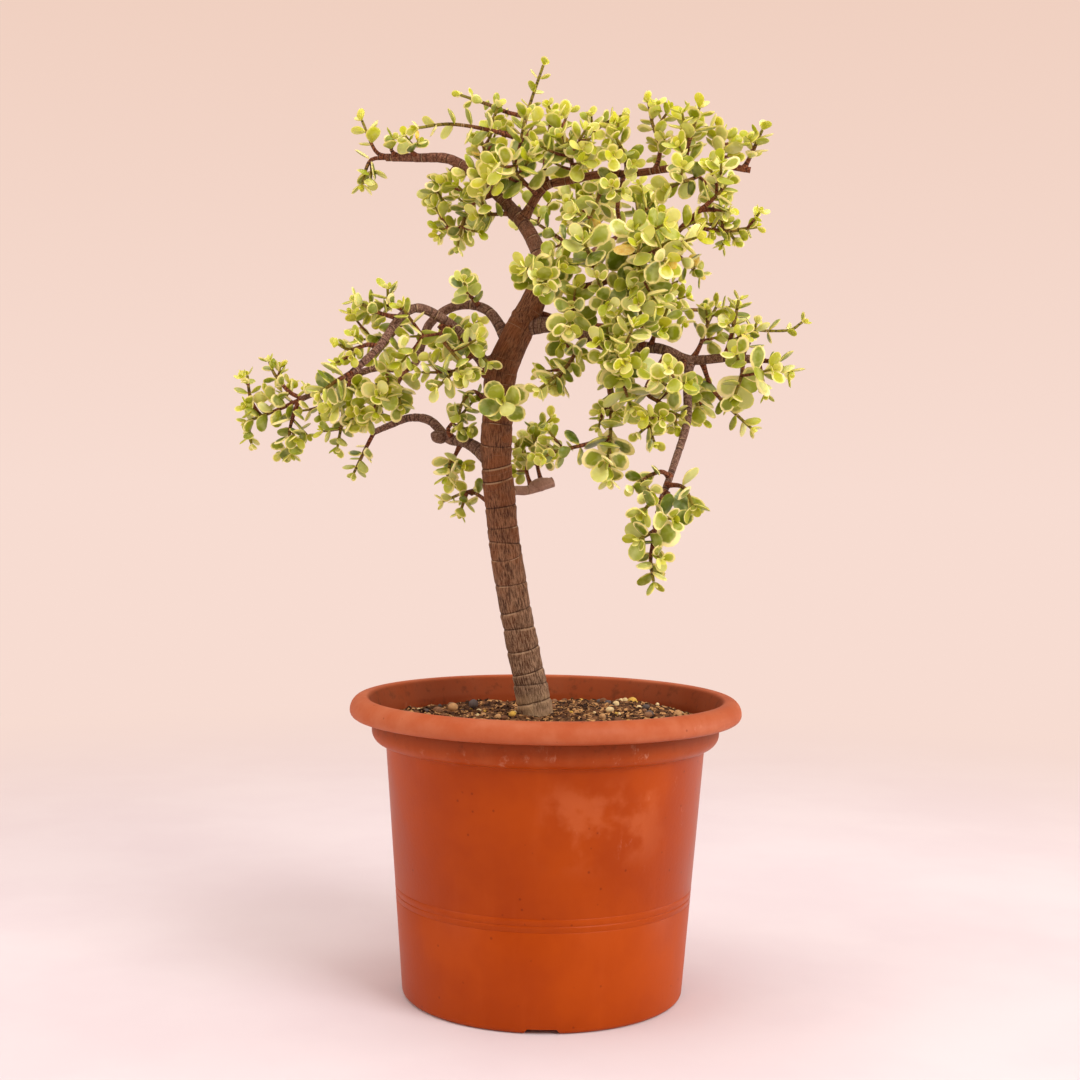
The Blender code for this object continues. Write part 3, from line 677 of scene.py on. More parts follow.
def store(mesh, name, numbers):
    """Keeps one number for each point of a mesh, or three, which make a vector."""
    single = len(numbers) == len(mesh.vertices)
    kind, field = ("FLOAT", "value") if single else ("FLOAT_VECTOR", "vector")
    mesh.attributes.new(name, kind, "POINT").data.foreach_set(field, numbers)


def set_value(mesh, name, value):
    """Gives every point of a mesh the same number or vector."""
    flat = [value] if isinstance(value, float) else list(value)
    store(mesh, name, flat * len(mesh.vertices))


ground = surface_tree(slab)
TRUNK_FOOT = Vector((-0.007, 0.030, SOIL_LEVEL))
TRUNK_CLEAR = 0.014
DROP_HEIGHT = 0.05


def scatter(name, template, count, sizes, seed, sink):
    """Drops copies of a lump on the soil, clear of the trunk and inside the wall."""
    dice = random.Random(seed)
    grains = []
    while len(grains) < count:
        radius = slab_radius * math.sqrt(dice.random())
        angle = dice.uniform(0, math.tau)
        half = dice.uniform(*sizes) * (0.6 + 0.4 * dice.random())
        x = radius * math.cos(angle)
        y = radius * math.sin(angle)
        from_trunk = (Vector((x, y)) - TRUNK_FOOT.xy).length
        if math.hypot(x, y) > slab_radius - half or from_trunk < TRUNK_CLEAR:
            continue
        hit = ground.ray_cast(Vector((x, y, POT_HEIGHT + DROP_HEIGHT)), Vector((0, 0, -1)))[0]
        if hit is None:
            continue
        halves = (half, half * dice.uniform(0.6, 1), half * dice.uniform(0.5, 0.8), 1)
        shape = Matrix.Diagonal(halves)
        turn = Matrix.Rotation(dice.uniform(0, math.tau), 4, "Z")
        turn = turn @ Matrix.Rotation(dice.uniform(-0.5, 0.5), 4, "X")
        place = Matrix.Translation((x, y, hit.z + half * sink))
        grain = copy_of(template, name, place @ turn @ shape)
        set_value(grain.data, "dice", dice.random())
        grains.append(grain)
    return joined(name, grains)


stone_shape = lump_shape("stone_shape", 2)
crumb_shape = lump_shape("crumb_shape", 1)
gravel = scatter("gravel", stone_shape, count=130, sizes=(0.0014, 0.0048), seed=5, sink=0.25)
crumbs = scatter("soil_crumbs", crumb_shape, count=1500, sizes=(0.0006, 0.0025), seed=9, sink=0.2)
smooth(gravel, 50)

# %% The larger pebbles
PEBBLES = {"tan": 0.30, "grey": 0.93, "yellow": 0.62}
pebbles = []
for name, kind in PEBBLES.items():
    low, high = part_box(f"stone_{name}")
    half = (high - low) / 2
    shape = Matrix.Translation((low + high) / 2) @ Matrix.Diagonal((*half, 1))
    pebble = copy_of(stone_shape, f"pebble_{name}", shape)
    only(pebble)
    round_off = pebble.modifiers.new("round", "SUBSURF")
    round_off.levels = 2
    round_off.render_levels = 2
    apply_modifiers(pebble)
    set_value(pebble.data, "dice", kind)
    smooth(pebble, 60)
    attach(pebble, "root")
    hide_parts(f"stone_{name}")
    pebbles.append(pebble)
for template in (stone_shape, crumb_shape):
    bpy.data.objects.remove(template, do_unlink=True)
print("gravel:", len(gravel.data.polygons), "faces, crumbs:", len(crumbs.data.polygons))

# %% [markdown]
# ## Finishes of soil and stones
# The mix is dark brown bark and peat with paler dry bits, so its colour jumps at a scale of one
# or two millimetres. Each stone has one number, drawn when it was scattered, and a ramp turns
# that number into one of a few stone colours.
# %% Soil and stone
mould = Finish("potting_mix")
spot = mould.place()
coarse = mould.noise(spot, 160, 6, 0.7)
bits = mould.node("ShaderNodeTexVoronoi", {"feature": "F1"}, {"Vector": spot, "Scale": 420},
                  output="Color")
bit = mould.parts(bits)[0]
colour = mould.mix(coarse.rise(0.35, 0.68), tone(46, 30, 20), tone(132, 92, 62))
colour = mould.mix(bit.rise(0.78, 0.86) * 0.85, colour, tone(204, 156, 102))
colour = mould.mix(bit.rise(0.22, 0.14), colour, tone(40, 24, 14))
mould.surface(colour, 0.95, coarse + bit * 0.5, 0.0012, Specular_IOR_Level=0.2)

stone = Finish("gravel_stone")
spot = stone.place()
kind = stone.number("dice")
ramp = stone.node("ShaderNodeValToRGB", inputs={0: kind}).socket.node.color_ramp
ramp.interpolation = "CONSTANT"
STONE_COLOURS = ((0.0, (120, 82, 56)), (0.20, (196, 152, 104)), (0.38, (238, 214, 158)),
                 (0.56, (224, 182, 84)), (0.68, (150, 112, 82)), (0.88, (98, 90, 88)))
while len(ramp.elements) < len(STONE_COLOURS):
    ramp.elements.new(1.0)
for element, (start, shade) in zip(ramp.elements, STONE_COLOURS):
    element.position = start
    element.color = (*tone(*shade), 1)
ramp_colour = Wire(stone, stone.tree.nodes["Color Ramp"].outputs[0])
veins = stone.noise(spot, 500, 5, 0.7)
colour = stone.mix(veins.rise(0.35, 0.75) * 0.4, ramp_colour, tone(72, 48, 32))
stone.surface(colour, 0.8, veins, 0.0005, Specular_IOR_Level=0.3)

for item in (slab, block, crumbs):
    item.data.materials.clear()
    item.data.materials.append(mould.material)
    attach(item, "root")
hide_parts("soil")
for item in (gravel, *pebbles):
    item.data.materials.clear()
    item.data.materials.append(stone.material)
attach(gravel, "root")

# %% [markdown]
# ## Lines of the wood
# The trunk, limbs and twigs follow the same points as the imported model, in centimetres above the
# soil. A Catmull-Rom curve runs through each list of points, so that the wood bends smoothly,
# and a branch starts inside its parent at the nearest place, so that the two grow together.
# %% Points
TRUNK_RADIUS = 0.0121
TRUNK = [
    ((-0.4, 3.1, -3.0), 1.02), ((-0.7, 3.0, 0.2), 1.00), ((-1.9, 2.6, 5.9), 0.92),
    ((-2.7, 2.2, 10.1), 0.90), ((-3.3, 1.8, 14.2), 0.89), ((-3.7, 1.4, 18.4), 0.88),
    ((-3.6, 1.1, 21.4), 0.88), ((-3.4, 0.8, 24.2), 0.92), ((-2.5, 0.4, 26.4), 0.84),
    ((-1.5, 0.2, 28.4), 0.74), ((-0.5, -0.2, 31.1), 0.50),
]
LIMBS = [
    ("upper_left", "trunk", 5.6, 2.8, [(-1.1, 0.4, 32.8), (-2.0, 1.0, 34.4), (-3.1, 1.8, 35.8),
     (-5.3, 3.2, 38.1), (-7.4, 4.4, 39.5), (-9.7, 5.5, 39.8), (-12.1, 6.5, 40.0)]),
    ("upper_right", "limb_upper_left", 3.2, 2.1, [(-0.6, 0.6, 36.9), (1.1, 0.0, 37.3),
     (3.6, -1.0, 37.6), (5.3, -1.6, 37.5), (8.5, -2.5, 37.8), (10.8, -3.0, 37.9),
     (13.1, -3.3, 37.5)]),
    ("high_right", "trunk", 2.8, 1.7, [(1.6, -2.0, 29.7), (4.2, -3.8, 30.2), (6.6, -5.5, 31.5),
     (8.5, -6.5, 33.3), (9.6, -7.0, 34.3)]),
    ("right", "trunk", 5.0, 2.6, [(1.1, -0.5, 27.2), (3.5, -1.5, 26.0), (7.2, -3.0, 25.6),
     (9.2, -4.0, 24.8), (11.6, -5.0, 24.9), (13.8, -5.8, 24.7)]),
    ("hanging", "limb_right", 3.1, 2.0, [(9.0, -5.0, 22.6), (8.9, -6.0, 20.5),
     (8.0, -7.2, 17.7), (7.2, -8.0, 15.4), (6.8, -8.5, 13.4)]),
    ("arch_left", "trunk", 4.2, 2.3, [(-5.4, 0.0, 25.6), (-6.7, -0.8, 27.1),
     (-8.9, -1.8, 28.2), (-10.2, -2.8, 27.4), (-11.4, -4.0, 25.4), (-13.1, -4.8, 23.6)]),
    ("left", "trunk", 3.8, 2.0, [(-4.5, 1.5, 28.5), (-6.6, 2.5, 28.9), (-8.6, 3.0, 27.6),
     (-9.8, 3.5, 24.7), (-12.2, 4.0, 24.6), (-14.4, 4.5, 23.9), (-16.6, 5.0, 22.9),
     (-18.0, 5.2, 22.3)]),
    ("low_left", "trunk", 4.8, 2.2, [(-5.8, 3.0, 19.3), (-7.2, 4.0, 19.6), (-8.6, 4.8, 20.9),
     (-10.1, 5.4, 21.1), (-11.5, 6.0, 20.6), (-12.9, 6.4, 20.0)]),
    ("low_back", "trunk", 2.6, 3.8, [(-2.5, 3.2, 15.9), (-1.5, 3.8, 16.0), (0.3, 4.4, 16.6)]),
    ("back", "trunk", 3.6, 2.2, [(-0.5, 4.0, 29.9), (1.7, 7.5, 32.6), (4.5, 10.5, 34.9)]),
]


def plant_point(drawn):
    return Vector(drawn) * CM + Vector((0, 0, SOIL_LEVEL))


def smooth_path(points, gap):
    """Points of a Catmull-Rom curve, about this far apart."""
    first = points[0] * 2 - points[1]
    last = points[-1] * 2 - points[-2]
    padded = [first, *points, last]
    path = []
    for index in range(1, len(padded) - 2):
        a, b, c, d = padded[index - 1:index + 3]
        steps = max(1, round((c - b).length / gap))
        for step in range(steps):
            t = step / steps
            path.append(0.5 * (b * 2 + (c - a) * t + (a * 2 - b * 5 + c * 4 - d) * t ** 2
                               + (b * 3 - a - c * 3 + d) * t ** 3))
    path.append(points[-1])
    return path


class Line:
    """A branch's middle line, its radius along it, and a frame that doesn't twist."""

    def __init__(self, points, radii):
        self.points = points
        self.radii = radii
        self.far = [0.0]
        for a, b in zip(points, points[1:]):
            self.far.append(self.far[-1] + (b - a).length)
        self.along = []
        for index in range(len(points)):
            before = points[max(index - 1, 0)]
            after = points[min(index + 1, len(points) - 1)]
            self.along.append((after - before).normalized())
        side = self.along[0].orthogonal().normalized()
        self.sides = []
        for along in self.along:
            side = (side - along * side.dot(along)).normalized()
            self.sides.append(side)

    def at(self, distance):
        """Place, direction, side and radius this far along."""
        index = 0
        while index < len(self.far) - 2 and self.far[index + 1] < distance:
            index += 1
        share = (distance - self.far[index]) / max(self.far[index + 1] - self.far[index], 1e-9)
        share = min(max(share, 0.0), 1.0)
        place = self.points[index].lerp(self.points[index + 1], share)
        radius = self.radii[index] + (self.radii[index + 1] - self.radii[index]) * share
        return place, self.along[index], self.sides[index], radius

    def nearest(self, toward):
        """How far along the line passes closest to a point."""
        best = min(range(len(self.points)), key=lambda i: (self.points[i] - toward).length)
        return self.far[best]


# %% Make the lines of the trunk and limbs
lines = {}


def trunk_line():
    points = [plant_point(drawn) for drawn, _ in TRUNK]
    path = smooth_path(points, 0.0009)
    radii = []
    for place in path:
        index = 0
        while index < len(points) - 2 and place.z > points[index + 1].z:
            index += 1
        low, high = points[index].z, points[index + 1].z
        share = min(max((place.z - low) / (high - low), 0), 1)
        radii.append(TRUNK_RADIUS * mixed(TRUNK[index][1], TRUNK[index + 1][1], share))
    return Line(path, radii)


def branch_line(parent, points, base, tip, gap, lean_back=1.2):
    """A line that starts inside its parent, a little nearer its root, and flares there."""
    line = lines[parent]
    nearest = line.nearest(points[0])
    at_end = nearest > line.far[-1] - 0.0015
    radius = line.at(nearest)[3]
    back = 0.0015 if at_end else radius * lean_back
    start, along, _, _ = line.at(max(nearest - back, 0))
    outwards = (points[0] - start).normalized()
    leave = start + outwards * min(radius * 0.9, (points[0] - start).length * 0.5)
    path = smooth_path([start, leave, *points], gap)
    total = sum((b - a).length for a, b in zip(path, path[1:]))
    radii = []
    gone = 0.0
    for index, place in enumerate(path):
        if index:
            gone += (place - path[index - 1]).length
        flare = 0.0 if at_end else 0.55 * math.exp(-((gone / (radius * 1.5)) ** 2))
        radii.append(mixed(base, tip, gone / total) * (1 + flare))
    return Line(path, radii)


lines["trunk"] = trunk_line()
for name, parent, base, tip, drawn in LIMBS:
    points = [plant_point(point) for point in drawn]
    lines[f"limb_{name}"] = branch_line(parent, points, base * MM, tip * MM, 0.002)
print("wood lines:", {name: round(line.far[-1] / CM, 1) for name, line in lines.items()})

# %% [markdown]
# ## Making wood
# A tube along a line starts as a curve with a round bevel, which is made a mesh and has its caps
# welded. The ring scars that old leaves leave are real dents: each vertex knows how far along the
# line it is, so a vertex near a scar moves in, and one just under it moves out. Bark ridges come
# from noise that is read in the wood's own coordinates, round and along, so they follow bends.
# The same coordinates are kept as an attribute for the finish.
# %% Tubes with bark
RING_FAR = 0.006
RING_WIDTH = 0.0012
FADE_OVER = 0.06
FADE = 0.75
RIDGE_ACROSS = 260
RIDGE_ALONG = 40
CRUMB_ACROSS = 600
CRUMB_ALONG = 90


def tube(name, tube_lines, sides):
    """One mesh with a tube along each line."""
    bpy.ops.curve.primitive_nurbs_path_add()
    item = added(name)
    curve = item.data
    curve.splines.clear()
    for line in tube_lines:
        spline = curve.splines.new("POLY")
        spline.points.add(len(line.points) - 1)
        for point, place, radius in zip(spline.points, line.points, line.radii):
            point.co = (*place, 1)
            point.radius = radius
    curve.dimensions = "3D"
    curve.bevel_depth = 1
    curve.bevel_resolution = (sides - 4) // 2
    curve.use_fill_caps = True
    only(item)
    bpy.ops.object.convert(target="MESH")
    item = added(name)
    edit(item)
    bpy.ops.mesh.remove_doubles(threshold=0.00002)
    bpy.ops.mesh.normals_make_consistent(inside=False)
    stop_editing()
    return item


def scar_places(length, gap, dice):
    """Distances of the ring scars, unevenly spaced, with a tilt and a strength for each."""
    scars = []
    distance = gap * 0.5
    while distance < length:
        scars.append((distance, dice.uniform(-1, 1), dice.uniform(0, math.tau),
                      dice.uniform(0.35, 1)))
        distance += gap * dice.uniform(0.5, 1.45)
    return scars


def bark(item, tube_lines, gap, dent, ridge, tilt, seed, ages, grey, fade_from=None):
    """Dents scars into the wood, raises ridges, and stores the wood's own coordinates."""
    dice = random.Random(seed)
    stations = [(line, index) for line in tube_lines for index in range(len(line.points))]
    tree = KDTree(len(stations))
    for number, (line, index) in enumerate(stations):
        tree.insert(line.points[index], number)
    tree.balance()
    scars = {id(line): scar_places(line.far[-1], gap, dice) for line in tube_lines}
    grain = []
    ring = []
    young = []
    for vert in item.data.vertices:
        line, index = stations[tree.find(vert.co)[1]]
        far = line.far[index]
        offset = vert.co - line.points[index]
        side = line.sides[index]
        across = line.along[index].cross(side)
        u, v = offset.dot(side), offset.dot(across)
        angle = math.atan2(v, u)
        outwards = side * u + across * v
        outwards = outwards.normalized() if outwards.length > 1e-6 else Vector()
        faded = 0 if fade_from is None else min(max((far - fade_from) / FADE_OVER, 0), 1)
        strength = 1 - FADE * faded
        nearest = RING_FAR
        depth = 1.0
        for place, lean, turn, deep in scars[id(line)]:
            gone = far - place - lean * tilt * math.cos(angle - turn)
            if abs(gone) < abs(nearest):
                nearest = gone
                depth = deep
        strength *= depth
        push = -dent * math.exp(-((nearest / RING_WIDTH) ** 2))
        push += dent * 0.5 * math.exp(-(((nearest + RING_WIDTH * 2) / (RING_WIDTH * 1.5)) ** 2))
        ridges = Vector((u * RIDGE_ACROSS, v * RIDGE_ACROSS, far * RIDGE_ALONG))
        crumbles = Vector((u * CRUMB_ACROSS, v * CRUMB_ACROSS, far * CRUMB_ALONG + 7))
        rough = noise.noise(ridges) + 0.5 * noise.noise(crumbles)
        vert.co += outwards * (push * strength + rough * ridge)
        grain += [u, v, far]
        ring.append(nearest / strength)
        young.append(mixed(ages[0], ages[1], far / line.far[-1]))
    for field, numbers in (("grain", grain), ("ring", ring), ("young", young)):
        store(item.data, field, numbers)
    set_value(item.data, "grey", grey)


# %% Trunk and limbs
GREY = {"right": 0.75, "hanging": 0.9, "arch_left": 0.8, "left": 0.75, "low_left": 0.8,
        "low_back": 1.5, "upper_left": 0.45, "back": 0.5}
wood = {}
trunk = tube("trunk_wood", [lines["trunk"]], 30)
bark(trunk, [lines["trunk"]], gap=0.0140, dent=0.00070, ridge=0.00095, tilt=0.0024, seed=3,
     ages=(0.0, 0.0), grey=0.0, fade_from=0.20)
wood["trunk"] = trunk
for index, (name, _, base, _, _) in enumerate(LIMBS):
    node = f"limb_{name}"
    limb = tube(f"{node}_wood", [lines[node]], 14)
    bark(limb, [lines[node]], gap=0.0085, dent=0.00022, ridge=0.00022 * base / 4, tilt=0.0006,
         seed=20 + index, ages=(0.05, 0.25), grey=GREY.get(name, 0.0))
    wood[node] = limb
print("trunk:", len(trunk.data.polygons), "faces")

# %% [markdown]
# ## Knuckles and cut stubs
# Where several limbs leave the trunk the wood swells, and some old limbs were cut off. A swelling
# is a sphere, squashed and lumped, that sits in the wood. A stub is a smaller one that stands
# out of its limb. It takes the limb's own grey, and a limb that is mostly stub is the palest.
# %% Knuckles
def knuckle(name, node, drawn, half_sizes, turn=0.0):
    """A swelling that is joined to a piece of wood."""
    bpy.ops.mesh.primitive_uv_sphere_add(segments=20, ring_count=12, radius=1,
                                         location=plant_point(drawn), rotation=(0, turn, 0),
                                         scale=[half * MM for half in half_sizes])
    item = added(name)
    bpy.ops.object.transform_apply()
    lumps(item, 0.004, 0.0016)
    store(item.data, "grain", [number for vert in item.data.vertices for number in vert.co])
    set_value(item.data, "ring", RING_FAR)
    set_value(item.data, "young", 0.0)
    set_value(item.data, "grey", GREY.get(node.replace("limb_", ""), 0.0))
    wood[node] = joined(wood[node].name, [wood[node], item])


knuckle("swelling", "trunk", (-4.0, 0.7, 24.4), (10.5, 10.0, 9.0))
knuckle("swelling", "trunk", (-3.65, 1.3, 19.6), (10.6, 10.4, 11.0))
knuckle("swelling", "trunk", (-1.9, 0.2, 27.8), (9.5, 9.0, 9.0))
knuckle("stub", "limb_low_left", (-7.9, 3.9, 19.7), (6.0, 5.0, 4.6), 0.3)
knuckle("stub", "limb_low_back", (-0.6, 4.1, 16.4), (9.5, 5.2, 4.8), -0.3)
knuckle("stub", "limb_upper_left", (-2.6, 1.4, 35.2), (5.4, 5.0, 6.4), -0.6)

# %% [markdown]
# ## The leaf
# A leaf of this plant is a thick, almost round paddle, narrow at its foot, with a blunt rim. A
# sphere of a few rings is squashed, and its foot is narrowed by scaling the vertices there. It
# has only 56 faces, because it is copied nearly three thousand times. Before it is shaped, each
# vertex stores where it lies on the unit disc, so the finish knows how near the rim it is.
# %% One leaf
LEAF_SEGMENTS = 14
LEAF_WIDTH = 0.90
LEAF_THICKNESS = 0.165
LEAF_CUP = 0.03
FOOT_NARROWING = ((0.55, 0.90), (0.35, 0.78), (0.15, 0.66))


def leaf_template():
    bpy.ops.mesh.primitive_uv_sphere_add(segments=LEAF_SEGMENTS, ring_count=4, radius=0.5,
                                         location=(0.5, 0, 0))
    item = added("leaf_shape")
    bpy.ops.object.transform_apply()
    disc = []
    for vert in item.data.vertices:
        disc += [(vert.co.x - 0.5) * 2, vert.co.y * 2, vert.co.z * 2]
    store(item.data, "disc", disc)
    edit(item)
    bpy.ops.transform.resize(value=(1, LEAF_WIDTH, LEAF_THICKNESS), center_override=(0.5, 0, 0))
    for nearer, narrower in FOOT_NARROWING:
        choose(item, lambda vert: vert.co.x < nearer, "verts")
        bpy.ops.transform.resize(value=(1, narrower, 1), center_override=(0, 0, 0))
    choose(item, lambda vert: abs(vert.co.z) < 0.01, "verts")
    bpy.ops.transform.translate(value=(0, 0, LEAF_CUP))
    stop_editing()
    smooth(item, 80)
    return item


leaf_shape = leaf_template()
print("leaf:", len(leaf_shape.data.polygons), "faces")


# %% [markdown]
# ## Growing a shoot
# A twig carries leaves in pairs, and each pair is turned a quarter from the last. Leaves near the
# tip are younger, smaller, more upright and more lime green. Side twigs come out of the angle of
# a leaf and bend outwards, towards the light. One function grows a twig with its leaves, and
# another starts the side twigs. All random numbers come from one seed for each twig.
# %% Leaves on a twig
UP = Vector((0, 0, 1))
CROWN_MIDDLE = Vector((0, 0.02, SOIL_LEVEL + 0.29))
GOLDEN_SHARE = 0.004
LEAF_GROWTH = 1.12
NEAR_TIP_SIZE = (0.74, 0.92, 1.0)
NEAR_TIP_LIME = (0.4, 0.2, 0.0)
NEAR_TIP_LIFT = (46, 34, 26)
BUD_SIZE = 0.42
BUD_LIFT = 66
BUD_LIME = 0.5


def leaf_matrix(foot, outwards, along, lift, roll, length, width):
    """Turns the leaf so that it leaves the twig and its upper face looks towards the tip."""
    lengthways = (outwards * math.cos(lift) + along * math.sin(lift)).normalized()
    face = (along * math.cos(lift) - outwards * math.sin(lift)).normalized()
    face = (Matrix.Rotation(roll, 3, lengthways) @ face).normalized()
    sideways = face.cross(lengthways)
    turn = Matrix((lengthways, sideways, face)).transposed().to_4x4()
    return Matrix.Translation(foot) @ turn @ Matrix.Diagonal((length, length * width, length, 1))


def leaf_pair(line, distance, outwards, size, lift, lime, dice, leaves):
    """Two leaves on opposite sides of a twig."""
    foot, along, _, radius = line.at(distance)
    for way in (1, -1):
        away = outwards * way
        tilt = math.radians(lift + dice.uniform(-10, 10))
        matrix = leaf_matrix(foot + away * radius * 0.5, away, along, tilt,
                             dice.uniform(-0.35, 0.35), size * dice.uniform(0.88, 1.1),
                             dice.uniform(0.76, 1.0))
        leaf = copy_of(leaf_shape, "leaf", matrix)
        set_value(leaf.data, "look", (dice.random(), lime, dice.random()))
        set_value(leaf.data, "gold", 1.0 if dice.random() < GOLDEN_SHARE else 0.0)
        leaves.append(leaf)


def leafy_twig(line, plan, dice, leaves, twigs, depth):
    """Leaf pairs along a line. The plan is leaf length, pairs, bare share, sides and lime."""
    leaf, pairs, bare, sides, lime = plan
    length = line.far[-1]
    turn = dice.uniform(0, math.pi)
    for pair in range(pairs + 1):
        last = pairs - pair
        distance = length * min(1.0, bare + (1 - bare) * (pair + 1) / pairs)
        foot, along, side, _ = line.at(distance)
        angle = turn + pair * math.pi / 2 + dice.uniform(-0.25, 0.25)
        outwards = Matrix.Rotation(angle, 3, along) @ side
        if last == 0:
            bud_lime = min(1, lime + BUD_LIME)
            leaf_pair(line, length, outwards, leaf * BUD_SIZE, BUD_LIFT, bud_lime, dice, leaves)
            continue
        near_tip = min(last - 1, 2)
        size = leaf * NEAR_TIP_SIZE[near_tip] * dice.uniform(0.88, 1.1)
        young = min(1.0, lime + NEAR_TIP_LIME[near_tip] * dice.uniform(0.5, 1))
        leaf_pair(line, distance, outwards, size, NEAR_TIP_LIFT[near_tip], young, dice, leaves)
        for way in (1, -1):
            if depth and last > 1 and dice.random() < sides:
                grow_side(foot, outwards * way, along, plan, dice, leaves, twigs, depth)


def grow_side(foot, away, along, plan, dice, leaves, twigs, depth):
    """A side twig in the angle of a leaf, which bends outwards and up."""
    leaf, _, _, sides, lime = plan
    reach = leaf * dice.uniform(0.7, 1.6)
    light = (foot - CROWN_MIDDLE).normalized() * Vector((0.25, 1, 0.25))
    push = (away * 0.8 + along * 0.45 + light * 0.4 + UP * 0.12).normalized()
    tip = foot + push * reach + (UP * 0.4 + light) * reach * 0.14
    path = smooth_path([foot, foot + push * reach * 0.5, tip], 0.004)
    count = len(path) - 1
    twig = Line(path, [mixed(0.0012, 0.0008, index / count) for index in range(count + 1)])
    twigs.append(twig)
    pairs = 3 if reach > leaf * 1.3 else 2
    plan = (leaf * 0.92, pairs, 0.2, sides * 0.45, min(1.0, lime + 0.15))
    leafy_twig(twig, plan, dice, leaves, twigs, depth - 1)


